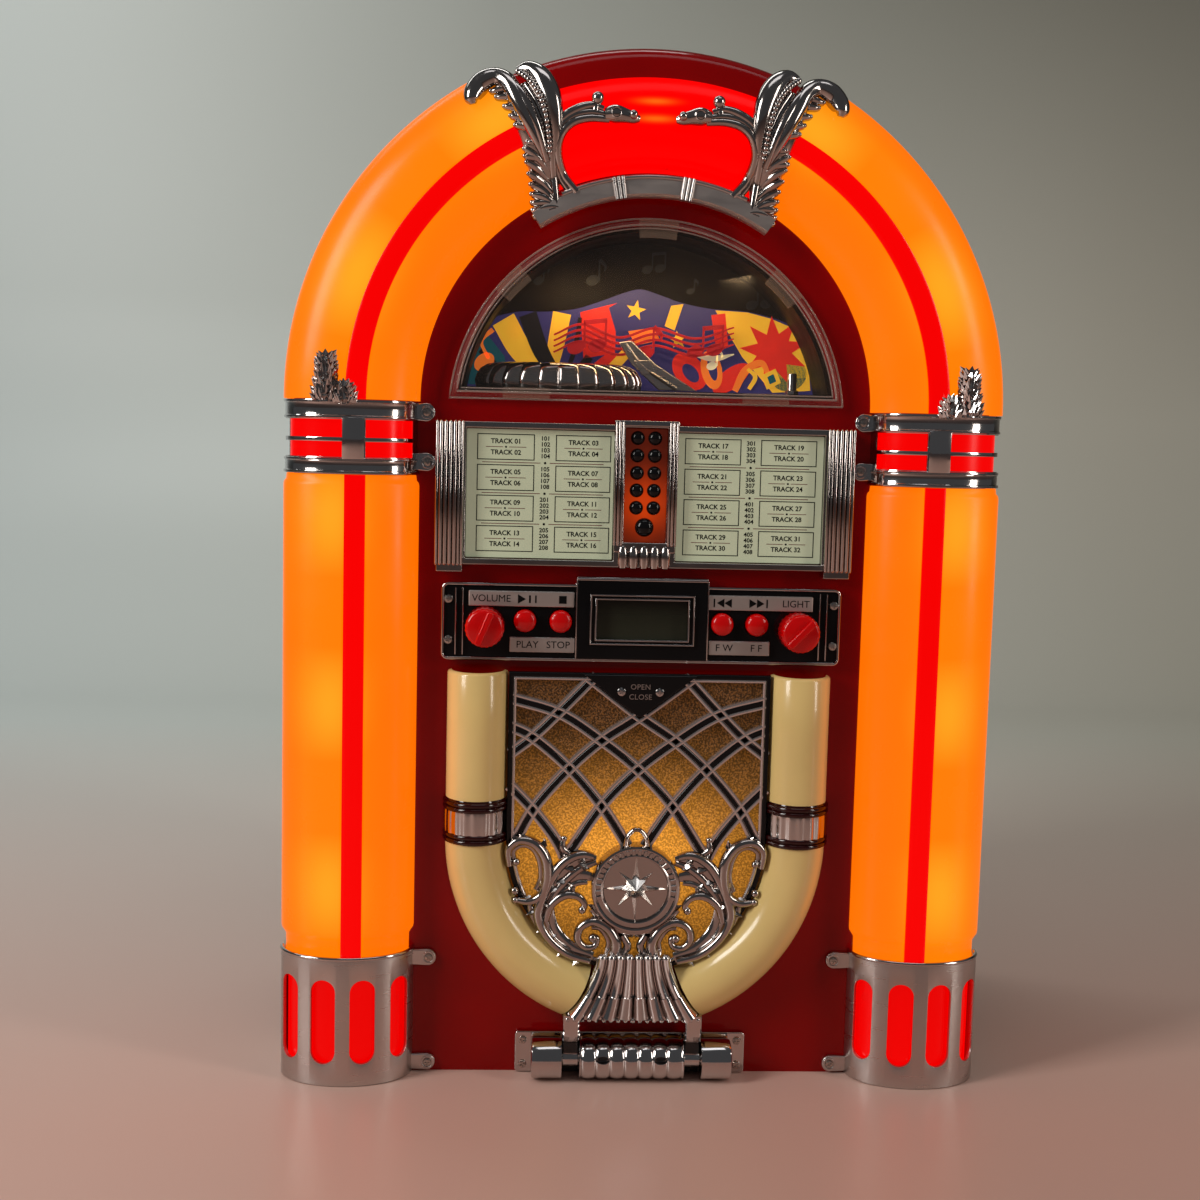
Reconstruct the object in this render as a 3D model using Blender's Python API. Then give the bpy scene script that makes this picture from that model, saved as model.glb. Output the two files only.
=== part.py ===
"""A tabletop jukebox with a drop-down disc door: an arched cabinet with lit tubes, a dome window, a title
panel, a control strip, a grille door on a bottom hinge, and the disc deck and electrics inside.

Lengths below are millimetres. The jukebox stands on z = 0, faces -Y, and is symmetric about x = 0.
Depths are measured from the front face of the panel: forward of it is negative, into the cabinet positive.
"""

import math

import bmesh
import bpy
from mathutils import Matrix, Vector

MM = 0.001
GAP = 0.35  # clearance between neighbouring pieces

# Whole object
HALF_WIDTH = 170.0
HALF_DEPTH = 100.0
PANEL_Y = -74.0
ARCH_Z = 325.0  # height of the arch's centre
ARCH_STEPS = 28

# Lit tubes: half of an ellipse in front of the panel, running straight back on the outer side
TUBE_INNER = 106.5
TUBE_CENTRE = (TUBE_INNER + HALF_WIDTH) / 2
TUBE_HALF = (HALF_WIDTH - TUBE_INNER) / 2
TUBE_PROUD = 20.0
TUBE_WALL = 2.2
TUBE_BACK = 40.0
STRIPE_R = 135.2
STRIPE_WIDTH = 8.7
STRIPE_GROOVE = 1.2
ARCH_END_DEG = 60.0  # where each orange arch stops under the crest, up from the side

# Chrome bands and base sleeves
BAND_BOTTOM = 290.8
BAND_TOP = 324.6
SLEEVE_TOP = 62.0
CHROME_WALL = 1.8
EAR_RADIUS = 4.3

# Cabinet
TRAY_HALF = HALF_WIDTH - TUBE_WALL - 0.5
TRAY_WALL = 2.5
TRAY_FLOOR_INSET = 12.0
PANEL_THICK = 3.0
SHELL_WALL = 3.0
REAR_THICK = 3.5
REAR_INSET = 4.0

# Dome window
DOME_R = 93.8
DOME_Z = 318.9
DOME_SILL = 326.6
DOME_DEPTH = 50.0

# Title panel
TITLE_HALF = 98.6
TITLE_TOP = 316.0
TITLE_BOTTOM = 248.0
CARD_INNER = 14.7
CARD_OUTER = 84.6
KEY_ROWS = 5
KEY_PITCH = 8.2
KEY_TOP = 310.4

# Control strip
CONTROL_HALF = 95.0
CONTROL_BOTTOM = 204.0
CONTROL_TOP = 240.8
KNOB_X = 74.3
KNOB_Z = 220.5
KNOB_R = 9.3
BUTTON_X = {"play_button": -55.5, "stop_button": -38.6, "previous_button": 38.2, "next_button": 54.8}
BUTTON_Z = 223.2
BUTTON_R = 5.3
BEZEL_PROUD = 7.0

# Door
HINGE_Z = 10.4
HINGE_DEPTH = -10.0
BARREL_R = 9.6
LUG_X = 29.5
LUG_HALF = 3.7
PIN_R = 2.0
DOOR_HALF = 62.5
DOOR_TOP = 199.0
DOOR_BEND_Z = 118.0
DOOR_TUBE_R = 14.6
DOOR_TUBE_X = 77.3
DOOR_TUBE_DROP = 80.0
DOOR_TUBE_END_DEG = 61.0
GRILLE_BACK = -5.6
GRILLE_FRONT = -9.0
LATTICE_BAR = 3.0

# Disc deck
DISC_Z = 125.0
DISC_WELL_R = 61.5
DECK_DEPTH = 16.0

COLOURS = {
    "maroon_plastic": ((0.16, 0.004, 0.006), 0.12, 0.0),
    "black_plastic": ((0.012, 0.012, 0.013), 0.35, 0.0),
    "orange_lens": ((1.0, 0.28, 0.02), 0.25, 0.0),
    "red_lens": ((0.85, 0.005, 0.005), 0.2, 0.0),
    "chrome_plating": ((0.72, 0.71, 0.72), 0.08, 1.0),
    "clear_plastic": ((0.9, 0.88, 0.86), 0.05, 0.0),
    "printed_card": ((0.62, 0.66, 0.5), 0.55, 0.0),
    "red_plastic": ((0.7, 0.01, 0.015), 0.2, 0.0),
    "cream_plastic": ((0.83, 0.72, 0.43), 0.28, 0.0),
    "gold_mesh": ((0.5, 0.3, 0.08), 0.4, 1.0),
    "display_glass": ((0.2, 0.2, 0.17), 0.15, 0.0),
    "steel": ((0.55, 0.55, 0.56), 0.3, 1.0),
    "circuit_board": ((0.05, 0.2, 0.07), 0.5, 0.0),
}
SPEAKER_X = 92.0
SPEAKER_Z = 105.0
INLET_X = 120.0
INLET_Z = 30.0
REAR_INNER = HALF_DEPTH - REAR_THICK - PANEL_Y
REAR_OUTER = HALF_DEPTH - PANEL_Y


# ---------------------------------------------------------------- helpers


def material(slot):
    """The Principled material of this slot, made on first use."""
    found = bpy.data.materials.get(slot)
    if found:
        return found
    colour, roughness, metallic = COLOURS[slot]
    made = bpy.data.materials.new(slot)
    made.use_nodes = True
    shader = made.node_tree.nodes["Principled BSDF"]
    shader.inputs["Base Color"].default_value = (*colour, 1.0)
    shader.inputs["Roughness"].default_value = roughness
    shader.inputs["Metallic"].default_value = metallic
    made.diffuse_color = (*colour, 1.0)
    return made


def place(obj, slot, origin=(0, 0, 0)):
    """Links the object, gives it its material and its origin (mm)."""
    bpy.context.scene.collection.objects.link(obj)
    if obj.type == "MESH":
        obj.data.transform(Matrix.Translation(-Vector(origin) * MM))
        obj.data.shade_smooth()
        obj.data.set_sharp_from_angle(angle=math.radians(35))
    obj.location = Vector(origin) * MM
    if slot:
        obj.data.materials.append(material(slot))
    return obj


def helper(obj):
    """Turns the object into a cutter or a shape that is joined to another piece."""
    obj.hide_render = True
    obj.display_type = "WIRE"
    return obj


def loft(name, rings, slot=None, origin=(0, 0, 0), loop=False):
    """A closed body through rings of points (mm). Its ends are capped, or meet each other when loop is set."""
    bm = bmesh.new()
    rows = [[bm.verts.new(Vector(point) * MM) for point in ring] for ring in rings]
    pairs = list(zip(rows, rows[1:]))
    if loop:
        pairs.append((rows[-1], rows[0]))
    for lower, upper in pairs:
        for i in range(len(lower)):
            j = (i + 1) % len(lower)
            bm.faces.new((lower[i], lower[j], upper[j], upper[i]))
    if not loop:
        bm.faces.new(rows[0][::-1])
        bm.faces.new(rows[-1])
    bmesh.ops.recalc_face_normals(bm, faces=bm.faces)
    mesh = bpy.data.meshes.new(name)
    bm.to_mesh(mesh)
    bm.free()
    return place(bpy.data.objects.new(name, mesh), slot, origin)


def slab(name, outline, front, back, slot=None, origin=(0, 0, 0)):
    """A plate whose outline is (x, z) points, from depth front to depth back."""
    rings = [[(x, PANEL_Y + depth, z) for x, z in outline] for depth in (front, back)]
    return loft(name, rings, slot, origin)


def block(name, x, depth, z, slot=None, origin=(0, 0, 0)):
    """A box between pairs of x, depth and z."""
    corners = [(x[0], z[0]), (x[1], z[0]), (x[1], z[1]), (x[0], z[1])]
    return slab(name, corners, depth[0], depth[1], slot, origin)


def turned(name, profile, x, z, slot=None, steps=24, origin=(0, 0, 0)):
    """A body of revolution about the depth axis, through (radius, depth) points."""
    rings = []
    for radius, depth in profile:
        angles = [2 * math.pi * i / steps for i in range(steps)]
        rings.append([(x + radius * math.cos(a), PANEL_Y + depth, z + radius * math.sin(a)) for a in angles])
    return loft(name, rings, slot, origin)


def rod(name, start, end, radius, slot=None, steps=12, origin=(0, 0, 0)):
    """A round bar along X between two x values; start and end are (x, depth, z)."""
    rings = []
    for x, depth, z in (start, end):
        angles = [2 * math.pi * i / steps for i in range(steps)]
        rings.append([(x, PANEL_Y + depth + radius * math.cos(a), z + radius * math.sin(a)) for a in angles])
    return loft(name, rings, slot, origin)


def combine(target, operation, helpers, solver="EXACT"):
    """Adds (UNION) or cuts (DIFFERENCE) each helper from the target."""
    for shape in helpers:
        helper(shape)
        modifier = target.modifiers.new(shape.name, "BOOLEAN")
        modifier.operation = operation
        modifier.object = shape
        modifier.solver = solver
    return target


def arc(centre_x, centre_z, radius, start_deg, end_deg, steps):
    angles = [math.radians(start_deg + (end_deg - start_deg) * i / steps) for i in range(steps + 1)]
    return [(centre_x + radius * math.cos(a), centre_z + radius * math.sin(a)) for a in angles]


def mirrored(points, side):
    return [(side * x, z) for x, z in points]


def arched_outline(half, bottom, steps=ARCH_STEPS):
    """The cabinet's front outline: straight sides under a half circle."""
    return [(half, bottom), *arc(0, ARCH_Z, half, 0, 180, steps), (-half, bottom)]


def dome_outline(inset, steps=20):
    """The dome window's outline: a circle cut off at the sill."""
    radius = DOME_R - inset
    sill = DOME_SILL + inset
    start = math.degrees(math.asin((sill - DOME_Z) / radius))
    return arc(0, DOME_Z, radius, start, 180 - start, steps)


def door_edge(inset, steps=12):
    """Points down the right side of the door's face and round to its foot, from the top."""
    half = DOOR_HALF - inset
    drop = DOOR_BEND_Z - 53.0 - inset
    angles = [math.radians(-74.0 * i / steps) for i in range(steps + 1)]
    bend = [(half * math.cos(a), DOOR_BEND_Z + drop * math.sin(a)) for a in angles]
    return [(half, DOOR_TOP - inset), *bend]


def door_outline(inset):
    right = door_edge(inset)
    return right + [(-x, z) for x, z in reversed(right)]


# ---------------------------------------------------------------- lit tubes


def tube_depth(r, inset):
    """Depth of the tube's surface, thinned by inset, at distance r from the middle of the object."""
    across = (r - TUBE_CENTRE) / (TUBE_HALF - inset)
    return -(TUBE_PROUD - inset) * math.sqrt(max(0.0, 1.0 - across * across))


def tube_curve(inset, steps, proud=TUBE_PROUD):
    """(r, depth) points over the front of a tube, from its inner edge to its outer side."""
    points = []
    for i in range(steps + 1):
        angle = math.pi * (1 - i / steps)
        depth = -(proud - inset) * math.sin(angle)
        points.append((TUBE_CENTRE + (TUBE_HALF - inset) * math.cos(angle), min(depth, -GAP)))
    return points


def channel(outer, inner, back):
    """A closed (r, depth) section from an outer and an inner curve, with the outer side run back."""
    section = list(outer)
    section.append((outer[-1][0], back))
    section.append((inner[-1][0], back))
    section.extend(reversed(inner))
    return section


def lens_section():
    """The lens: a thin channel with a groove for the stripe along its front."""
    outer = tube_curve(0, 12)
    half = STRIPE_WIDTH / 2 + GAP
    left, right = STRIPE_R - half, STRIPE_R + half
    grooved = [p for p in outer if p[0] < left]
    grooved.append((left, tube_depth(left, 0)))
    grooved.append((left, tube_depth(left, STRIPE_GROOVE)))
    grooved.append((right, tube_depth(right, STRIPE_GROOVE)))
    grooved.append((right, tube_depth(right, 0)))
    grooved.extend(p for p in outer if p[0] > right)
    return channel(grooved, tube_curve(TUBE_WALL, 8), TUBE_BACK)


def stripe_section():
    half = STRIPE_WIDTH / 2
    rs = [STRIPE_R - half, STRIPE_R, STRIPE_R + half]
    outer = [(r, tube_depth(r, -0.5)) for r in rs]
    inner = [(r, tube_depth(r, STRIPE_GROOVE - GAP)) for r in reversed(rs)]
    return outer + inner


def standing(name, section, low, high, side, slot):
    """A section run straight up from z low to z high on one side of the object."""
    rings = [[(side * r, PANEL_Y + depth, z) for r, depth in section] for z in (low, high)]
    return loft(name, rings, slot)


def arching(name, section, start_deg, end_deg, side, slot, steps=12):
    """A section swept round the arch on one side of the object."""
    rings = []
    for i in range(steps + 1):
        angle = math.radians(start_deg + (end_deg - start_deg) * i / steps)
        ring = [
            (side * r * math.cos(angle), PANEL_Y + depth, ARCH_Z + r * math.sin(angle)) for r, depth in section
        ]
        rings.append(ring)
    return loft(name, rings, slot)


def build_tubes(side, word):
    lens = lens_section()
    stripe = stripe_section()
    low = SLEEVE_TOP + GAP
    standing(f"{word}_column_lens", lens, low, BAND_BOTTOM - GAP, side, "orange_lens")
    standing(f"{word}_column_stripe", stripe, low, BAND_BOTTOM - GAP, side, "red_lens")
    arching(f"{word}_arch_lens", lens, 0, ARCH_END_DEG, side, "orange_lens")
    arching(f"{word}_arch_stripe", stripe, 0, ARCH_END_DEG, side, "red_lens")


def build_top_lens():
    """The red lens between the two ends of the arch, inside the cabinet's rounded shoulder."""
    section = [(108, -GAP), (109, -5), (118, -8), (132, -8), (146, -5), (151, -GAP), (148, -GAP)]
    section += [(144, -3), (131, -6), (119, -6), (111, -3.5), (110.5, -GAP)]
    start = ARCH_END_DEG + 4.0
    arching("top_lens", section, start, 180 - start, 1, "red_lens", 12)


# ---------------------------------------------------------------- chrome on the tubes


def ears(name, x, heights, side):
    """Rounded screw ears that lie on the panel beside a band or a sleeve."""
    made = []
    for i, z in enumerate(heights):
        outline = [(x + EAR_RADIUS * math.sin(a), z + EAR_RADIUS * math.cos(a)) for a in half_turn()]
        outline = [(TUBE_INNER + 1.5, z + EAR_RADIUS), *[(2 * x - p[0], p[1]) for p in outline]]
        outline.append((TUBE_INNER + 1.5, z - EAR_RADIUS))
        made.append(slab(f"{name}_ear_{i}", mirrored(outline, side), -2.5, -GAP))
    return made


def half_turn(steps=8):
    return [math.pi * i / steps for i in range(steps + 1)]


def build_band(side, word):
    """A chrome band round the tube: two rings joined by posts, a bar across its windows, and a leaf on top."""
    name = f"{word}_band"
    section = channel(tube_curve(0, 12, 22.0), tube_curve(CHROME_WALL, 12, 22.0), TUBE_BACK)
    band = standing(name, section, BAND_BOTTOM, BAND_TOP, side, "chrome_plating")
    windows = []
    for row, (low, high) in enumerate(((298.2, 305.4), (307.6, 316.2))):
        for column, (near, far, back) in enumerate(((109.5, 131.5, -3.0), (142.5, 176.0, 12.0))):
            span = sorted((side * near, side * far))
            windows.append(block(f"{name}_window_{row}{column}", span, (-40, back), (low, high)))
    combine(band, "DIFFERENCE", windows)
    leaf = [(140.5, 321), (155, 321), (157, 331), (154, 341), (148, 351), (143.5, 343), (141, 332)]
    leaf_shape = slab(f"{name}_leaf", mirrored(leaf, side), -24.5, -20.35)
    combine(band, "UNION", [*ears(name, 103.4, (320.0, 296.8), side), leaf_shape])
    insert = channel(tube_curve(2.2, 10, 22.0), tube_curve(3.8, 10, 22.0), -GAP)
    standing(f"{word}_band_insert", insert, BAND_BOTTOM + 1.5, BAND_TOP - 1.5, side, "red_lens")


def build_sleeve(side, word):
    """The chrome sleeve at a column's foot, with tall rounded slots and a red insert behind them."""
    name = f"{word}_base_sleeve"
    section = channel(tube_curve(0, 12, 22.0), tube_curve(CHROME_WALL, 12, 22.0), TUBE_BACK)
    sleeve = standing(name, section, 0, SLEEVE_TOP, side, "chrome_plating")
    slots = []
    for i, x in enumerate((TUBE_CENTRE - 9.3, TUBE_CENTRE + 9.3)):
        outline = arc(x, 46.5, 5.6, 0, 180, 6) + arc(x, 15.5, 5.6, 180, 360, 6)
        slots.append(slab(f"{name}_slot_{i}", mirrored(outline, side), -40, -8))
    outer_span = sorted((side * (TUBE_CENTRE + 23.5), side * (HALF_WIDTH + 5)))
    slots.append(block(f"{name}_slot_2", outer_span, (-13, 2), (12, 50)))
    combine(sleeve, "DIFFERENCE", slots)
    combine(sleeve, "UNION", ears(name, 98.8, (57.4, 5.0), side))
    insert = channel(tube_curve(2.2, 10, 22.0), tube_curve(3.8, 10, 22.0), -GAP)
    standing(f"{word}_base_insert", insert, 3.0, SLEEVE_TOP - 2.5, side, "red_lens")


def ribbon(name, spine, widths, lift, thick):
    """A flat-sided bar along (x, z) points that hugs the arch tubes, lift mm above them."""
    rings = []
    for i, (x, z) in enumerate(spine):
        before = Vector(spine[max(0, i - 1)])
        after = Vector(spine[min(len(spine) - 1, i + 1)])
        run = (after - before).normalized()
        across = Vector((-run.y, run.x)) * widths[i] / 2
        ring = []
        for sign, level in ((1, 0), (1, thick), (-1, thick), (-1, 0)):
            px, pz = x + sign * across.x, z + sign * across.y
            r = math.hypot(px, pz - ARCH_Z)
            base = min(tube_depth(min(r, HALF_WIDTH), 0), -8.0)
            ring.append((px, PANEL_Y + base - lift - level, pz))
        rings.append(ring)
    return loft(name, rings)


def build_crest():
    """One casting: an arched bar over the dome that carries a pair of plumes with bird-like heads."""
    section = [(98.2, -16.0), (107.0, -16.0), (107.0, -8.5), (98.2, -8.5)]
    crest = arching("crest", section, 57.0, 123.0, 1, "chrome_plating", 16)
    plume = [(-54, 410), (-55, 426), (-58, 440), (-61, 454), (-65, 467), (-72, 477), (-80, 480), (-87, 475)]
    plume_widths = [9, 14, 18, 19, 18, 16, 12, 7]
    neck = [(-47, 414), (-46, 430), (-43, 445), (-35, 455), (-23, 458), (-11, 457)]
    neck_widths = [6, 6, 7, 8, 8, 5]
    shapes = []
    for side, word in ((1, "left"), (-1, "right")):
        shapes.append(ribbon(f"crest_{word}_plume", mirrored(plume, side), plume_widths, 2.5, 3.5))
        shapes.append(ribbon(f"crest_{word}_neck", mirrored(neck, side), neck_widths, 2.5, 3.5))
        bridge = [(-58, 409), (-44, 409), (-40, 424), (-58, 424)]
        shapes.append(slab(f"crest_{word}_bridge", mirrored(bridge, side), -20.5, -14.3))
    return combine(crest, "UNION", shapes, "MANIFOLD")


# ---------------------------------------------------------------- cabinet


def tray(name, outline_at, rings, slot):
    """A dish through (inset, depth) rings of one outline: the first ring is its front, the last its floor."""
    return loft(name, [[(x, PANEL_Y + d, z) for x, z in outline_at(i)] for i, d in rings], slot)


def panel_outline(inset):
    """The front's outline; the rings inside its wall also stand clear of the bottom."""
    inside = inset in (TRAY_WALL, TRAY_FLOOR_INSET)
    return arched_outline(TRAY_HALF - inset, TRAY_WALL if inside else 0.0)


def build_front_panel():
    """The moulded front: a flat face with a rounded shoulder, holes for the windows, the door and the light."""
    rings = [(9.0, 0), (3.0, 4), (0, 16), (0, TUBE_BACK), (TRAY_WALL, TUBE_BACK), (TRAY_WALL, 17)]
    panel = tray("front_panel", panel_outline, [*rings, (TRAY_FLOOR_INSET, PANEL_THICK)], "maroon_plastic")
    through = (-5.0, 8.0)
    holes = [slab("dome_hole", dome_outline(4.0), *through)]
    holes.append(block("title_hole", (-CARD_OUTER, CARD_OUTER), through, (254, 311)))
    holes.append(block("control_hole", (-88, 88), through, (209, 236)))
    well = [(DISC_WELL_R, 186), (-DISC_WELL_R, 186), *arc(0, DISC_Z, DISC_WELL_R, 180, 360, 20)]
    holes.append(slab("door_hole", well, *through))
    holes.append(block("latch_hole", (-4, 4), through, (190, 196)))
    for side, word in ((1, "right"), (-1, "left")):
        span = sorted((side * 122, side * 152))
        holes.append(block(f"{word}_column_light", span, through, (72, 285)))
        light = arc(0, ARCH_Z, 152, 6, 58, 8) + arc(0, ARCH_Z, 122, 58, 6, 8)
        holes.append(slab(f"{word}_arch_light", mirrored(light, side), *through))
    light = arc(0, ARCH_Z, 141, 70, 110, 6) + arc(0, ARCH_Z, 116, 110, 70, 6)
    holes.append(slab("top_light", light, *through))
    combine(panel, "DIFFERENCE", holes)


def build_cabinet():
    build_front_panel()
    front = PANEL_Y + TUBE_BACK + GAP
    back = HALF_DEPTH - REAR_THICK - GAP
    rings = []
    for inset, y in ((0, front), (0, back - 8), (1.5, back - 3), (REAR_INSET, back)):
        rings.append([(x, y, z) for x, z in arched_outline(HALF_WIDTH - inset, 0.0)])
    for inset, y in ((REAR_INSET + SHELL_WALL, back), (SHELL_WALL, back - 8), (SHELL_WALL, front)):
        rings.append([(x, y, z) for x, z in arched_outline(HALF_WIDTH - inset, SHELL_WALL)])
    loft("cabinet_shell", rings, "maroon_plastic", loop=True)

    outline = arched_outline(HALF_WIDTH - REAR_INSET, 0.0)
    cover = slab("rear_cover", outline, REAR_INNER, REAR_OUTER, "black_plastic")
    through = (REAR_INNER - 5, REAR_OUTER + 5)
    cuts = []
    for side, word in ((1, "right"), (-1, "left")):
        for i in range(7):
            z = SPEAKER_Z + 8.0 * (i - 3)
            reach = math.sqrt(30.0**2 - (z - SPEAKER_Z) ** 2)
            span = (side * SPEAKER_X - reach, side * SPEAKER_X + reach)
            cuts.append(block(f"{word}_sound_slot_{i}", span, through, (z - 1.8, z + 1.8)))
    for i in range(6):
        z = 300.0 + 10.0 * i
        cuts.append(block(f"vent_{i}", (-60, 60), through, (z - 1.5, z + 1.5)))
    inlet = (INLET_X - 13.4, INLET_X + 13.4)
    cuts.append(block("inlet_hole", inlet, through, (INLET_Z - 9.4, INLET_Z + 9.4)))
    combine(cover, "DIFFERENCE", cuts)


# ---------------------------------------------------------------- dome


def build_dome():
    rings = [(4.0, -4.5), (1.0, -3.6), (0, -1.5), (0, -GAP), (1.6, -GAP), (2.2, -2.3), (5.0, -3.1)]
    tray("dome_window", dome_outline, rings, "clear_plastic")

    back = DOME_DEPTH
    rings = [(4.6, back), (4.6, PANEL_THICK + GAP), (6.2, PANEL_THICK + GAP), (6.2, back - 1.6)]
    tray("dome_housing", dome_outline, rings, "black_plastic")

    edge = DOME_R - 7.5
    floor = DOME_SILL + 7.0
    wave = [(-74, 371), (-48, 372), (-24, 377), (-1, 384), (20, 377), (50, 375), (66, 371), (78, 364)]
    outline = [(min(x, reach(edge, z)) if x > 0 else max(x, -reach(edge, z)), z) for x, z in wave]
    outline = [(-reach(edge, floor), floor), *outline, (reach(edge, floor), floor)]
    slab("artwork_card", outline, 42.0, 42.8, "printed_card")

    build_changer(floor)
    arm = [(-11, 362), (-6, 362), (24, floor), (8, floor)]
    slab("tonearm", arm, 31.0, 33.0, "steel")


def reach(radius, z):
    """Half-width of the dome at height z."""
    return math.sqrt(radius**2 - (z - DOME_Z) ** 2)


def build_changer(floor, ribs=16):
    """The half-round ribbed drum that stands for a record changer, against the artwork."""
    rings = []
    for height, scale in ((0, 1.0), (6, 1.0), (12, 0.94), (16, 0.82)):
        ring = []
        for i in range(2 * ribs + 1):
            angle = math.pi + math.pi * i / (2 * ribs)
            swell = scale * (1.0 if i % 2 else 0.94)
            y = PANEL_Y + 28 + 19 * swell * math.sin(angle)
            ring.append((-43 + 38 * swell * math.cos(angle), y, floor + height))
        rings.append(ring)
    loft("changer_ring", rings, "chrome_plating")


# ---------------------------------------------------------------- title panel


def key_places():
    """(x, z, radius) of the selector keys: two columns and one large key under them."""
    rows = [(x, KEY_TOP - KEY_PITCH * row, 3.0) for row in range(KEY_ROWS) for x in (-4.1, 4.1)]
    return [*rows, (0.0, 268.4, 4.2)]


def build_title_panel():
    pillar = CARD_OUTER + 0.8
    outer = [(-TITLE_HALF, TITLE_BOTTOM), (TITLE_HALF, TITLE_BOTTOM), (TITLE_HALF, TITLE_TOP)]
    bezel = slab("title_bezel", [*outer, (-TITLE_HALF, TITLE_TOP)], -9.0, -GAP, "chrome_plating")
    cuts = []
    for side, word in ((1, "right"), (-1, "left")):
        span = sorted((side * CARD_INNER, side * CARD_OUTER))
        cuts.append(block(f"{word}_card_window", span, (-20, 5), (252.4, 313.4)))
    cuts.append(block("selector_window", (-10.4, 10.4), (-20, 5), (261.0, TITLE_TOP - 0.8)))
    combine(bezel, "DIFFERENCE", cuts)
    pillars = []
    for side, word in ((1, "right"), (-1, "left")):
        rounded = [(pillar, -8.0), (pillar + 2, -11.5), (pillar + 6.5, -13.0), (TITLE_HALF - 2, -11.5)]
        rounded.append((TITLE_HALF, -8.0))
        rings = [[(side * x, PANEL_Y + d, z) for x, d in rounded] for z in (TITLE_BOTTOM - 2, TITLE_TOP + 0.6)]
        pillars.append(loft(f"{word}_pillar", rings))
    combine(bezel, "UNION", pillars)
    for side, word in ((1, "right"), (-1, "left")):
        span = sorted((side * (CARD_INNER + GAP), side * (CARD_OUTER - GAP)))
        block(f"{word}_title_card", span, (-5.2, -4.0), (252.4 + GAP, 313.4 - GAP), "printed_card")

    face = block("selector_panel", (-10.0, 10.0), (-4.6, -2.0), (261.4, TITLE_TOP - 1.2), "orange_lens")
    pad = block("selector_keypad", (-9.5, 9.5), (-1.6, -0.6), (262.0, TITLE_TOP - 2), "black_plastic")
    holes = []
    domes = []
    for i, (x, z, radius) in enumerate(key_places()):
        holes.append(turned(f"key_hole_{i}", [(radius + GAP, -8), (radius + GAP, 2)], x, z, steps=8))
        profile = [(radius, -1.0), (radius, -5.6), (radius * 0.6, -7.2)]
        domes.append(turned(f"key_dome_{i}", profile, x, z, steps=8))
    combine(face, "DIFFERENCE", holes)
    combine(pad, "UNION", domes)


# ---------------------------------------------------------------- control strip


def build_controls():
    low, high = CONTROL_BOTTOM, CONTROL_TOP
    outline = [(-CONTROL_HALF, low), (CONTROL_HALF, low), (CONTROL_HALF, high), (31.5, high), (31.5, high + 3.8)]
    outline += [(-31.5, high + 3.8), (-31.5, high), (-CONTROL_HALF, high)]
    bezel = slab("control_bezel", outline, -BEZEL_PROUD, -GAP, "chrome_plating")
    cuts = [block("display_window", (-23.2, 23.2), (-20, 5), (213.6, 235.6))]
    for side, word in ((1, "light"), (-1, "volume")):
        cuts.append(turned(f"{word}_shaft_hole", [(4.2, -20), (4.2, 5)], side * KNOB_X, KNOB_Z, steps=16))
    for name, x in BUTTON_X.items():
        radius = BUTTON_R + 0.5
        cuts.append(turned(f"{name}_hole", [(radius, -20), (radius, 5)], x, BUTTON_Z, steps=16))
    combine(bezel, "DIFFERENCE", cuts)
    block("display_module", (-22.8, 22.8), (-5.4, 5.0), (214.0, 235.2), "display_glass")

    board = block("control_board", (-86, 86), (9.0, 10.6), (210.5, 234.5), "circuit_board")
    bores = []
    pots = []
    for side, word in ((1, "light"), (-1, "volume")):
        x = side * KNOB_X
        pots.append(turned(f"{word}_pot", [(8.0, 10.0), (8.0, 17.0)], x, KNOB_Z, steps=16))
        bores.append(turned(f"{word}_pot_bore", [(3.5, 5.0), (3.5, 15.0)], x, KNOB_Z, steps=16))
    switches = []
    for name, x in BUTTON_X.items():
        switches.append(block(f"{name}_switch", (x - 3, x + 3), (6.5, 9.5), (BUTTON_Z - 3, BUTTON_Z + 3)))
    combine(board, "UNION", pots + switches)
    combine(board, "DIFFERENCE", bores)

    for side, name in ((1, "light_knob"), (-1, "volume_knob")):
        x = side * KNOB_X
        cap = [(KNOB_R, -BEZEL_PROUD - 1.0), (KNOB_R, -18.5), (KNOB_R - 1.2, -20.0)]
        knob = turned(name, cap, x, KNOB_Z, "red_plastic", 28, (x, PANEL_Y, KNOB_Z))
        shaft = turned(f"{name}_shaft", [(3.0, -9.0), (3.0, 14.0)], x, KNOB_Z, steps=16)
        grip = block(f"{name}_grip", (x - 1.6, x + 1.6), (-22.5, -18.0), (KNOB_Z - 7.5, KNOB_Z + 7.5))
        combine(knob, "UNION", [shaft, grip])
    for name, x in BUTTON_X.items():
        cap = [(2.2, 4.6), (2.2, -1.0), (BUTTON_R, -1.0), (BUTTON_R, -10.2), (BUTTON_R - 1.2, -11.2)]
        turned(name, cap, x, BUTTON_Z, "red_plastic", 16, (x, PANEL_Y, BUTTON_Z))


# ---------------------------------------------------------------- door


def inside_door(x, z, inset):
    half = DOOR_HALF - inset
    if z > DOOR_TOP - inset:
        return False
    if z >= DOOR_BEND_Z:
        return abs(x) < half
    drop = DOOR_BEND_Z - 53.0 - inset
    return (x / half) ** 2 + ((z - DOOR_BEND_Z) / drop) ** 2 < 1.0


def lattice_bars():
    """Diagonal bars, each ending inside the door's border."""
    bars = []
    pitch = 43.0
    for lean in (1, -1):
        for k in range(-1, 4):
            start_x = -lean * (k * pitch - pitch / 2)
            run = Vector((lean * 0.72, -0.694))
            points = []
            for step in range(-160, 260):
                point = Vector((start_x, DOOR_TOP - 20)) + run * step
                if inside_door(point.x, point.y, 1.2):
                    points.append(point)
            if len(points) > 20:
                bars.append(bar_between(f"lattice_{lean}_{k}", points[0], points[-1]))
    return bars


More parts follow.
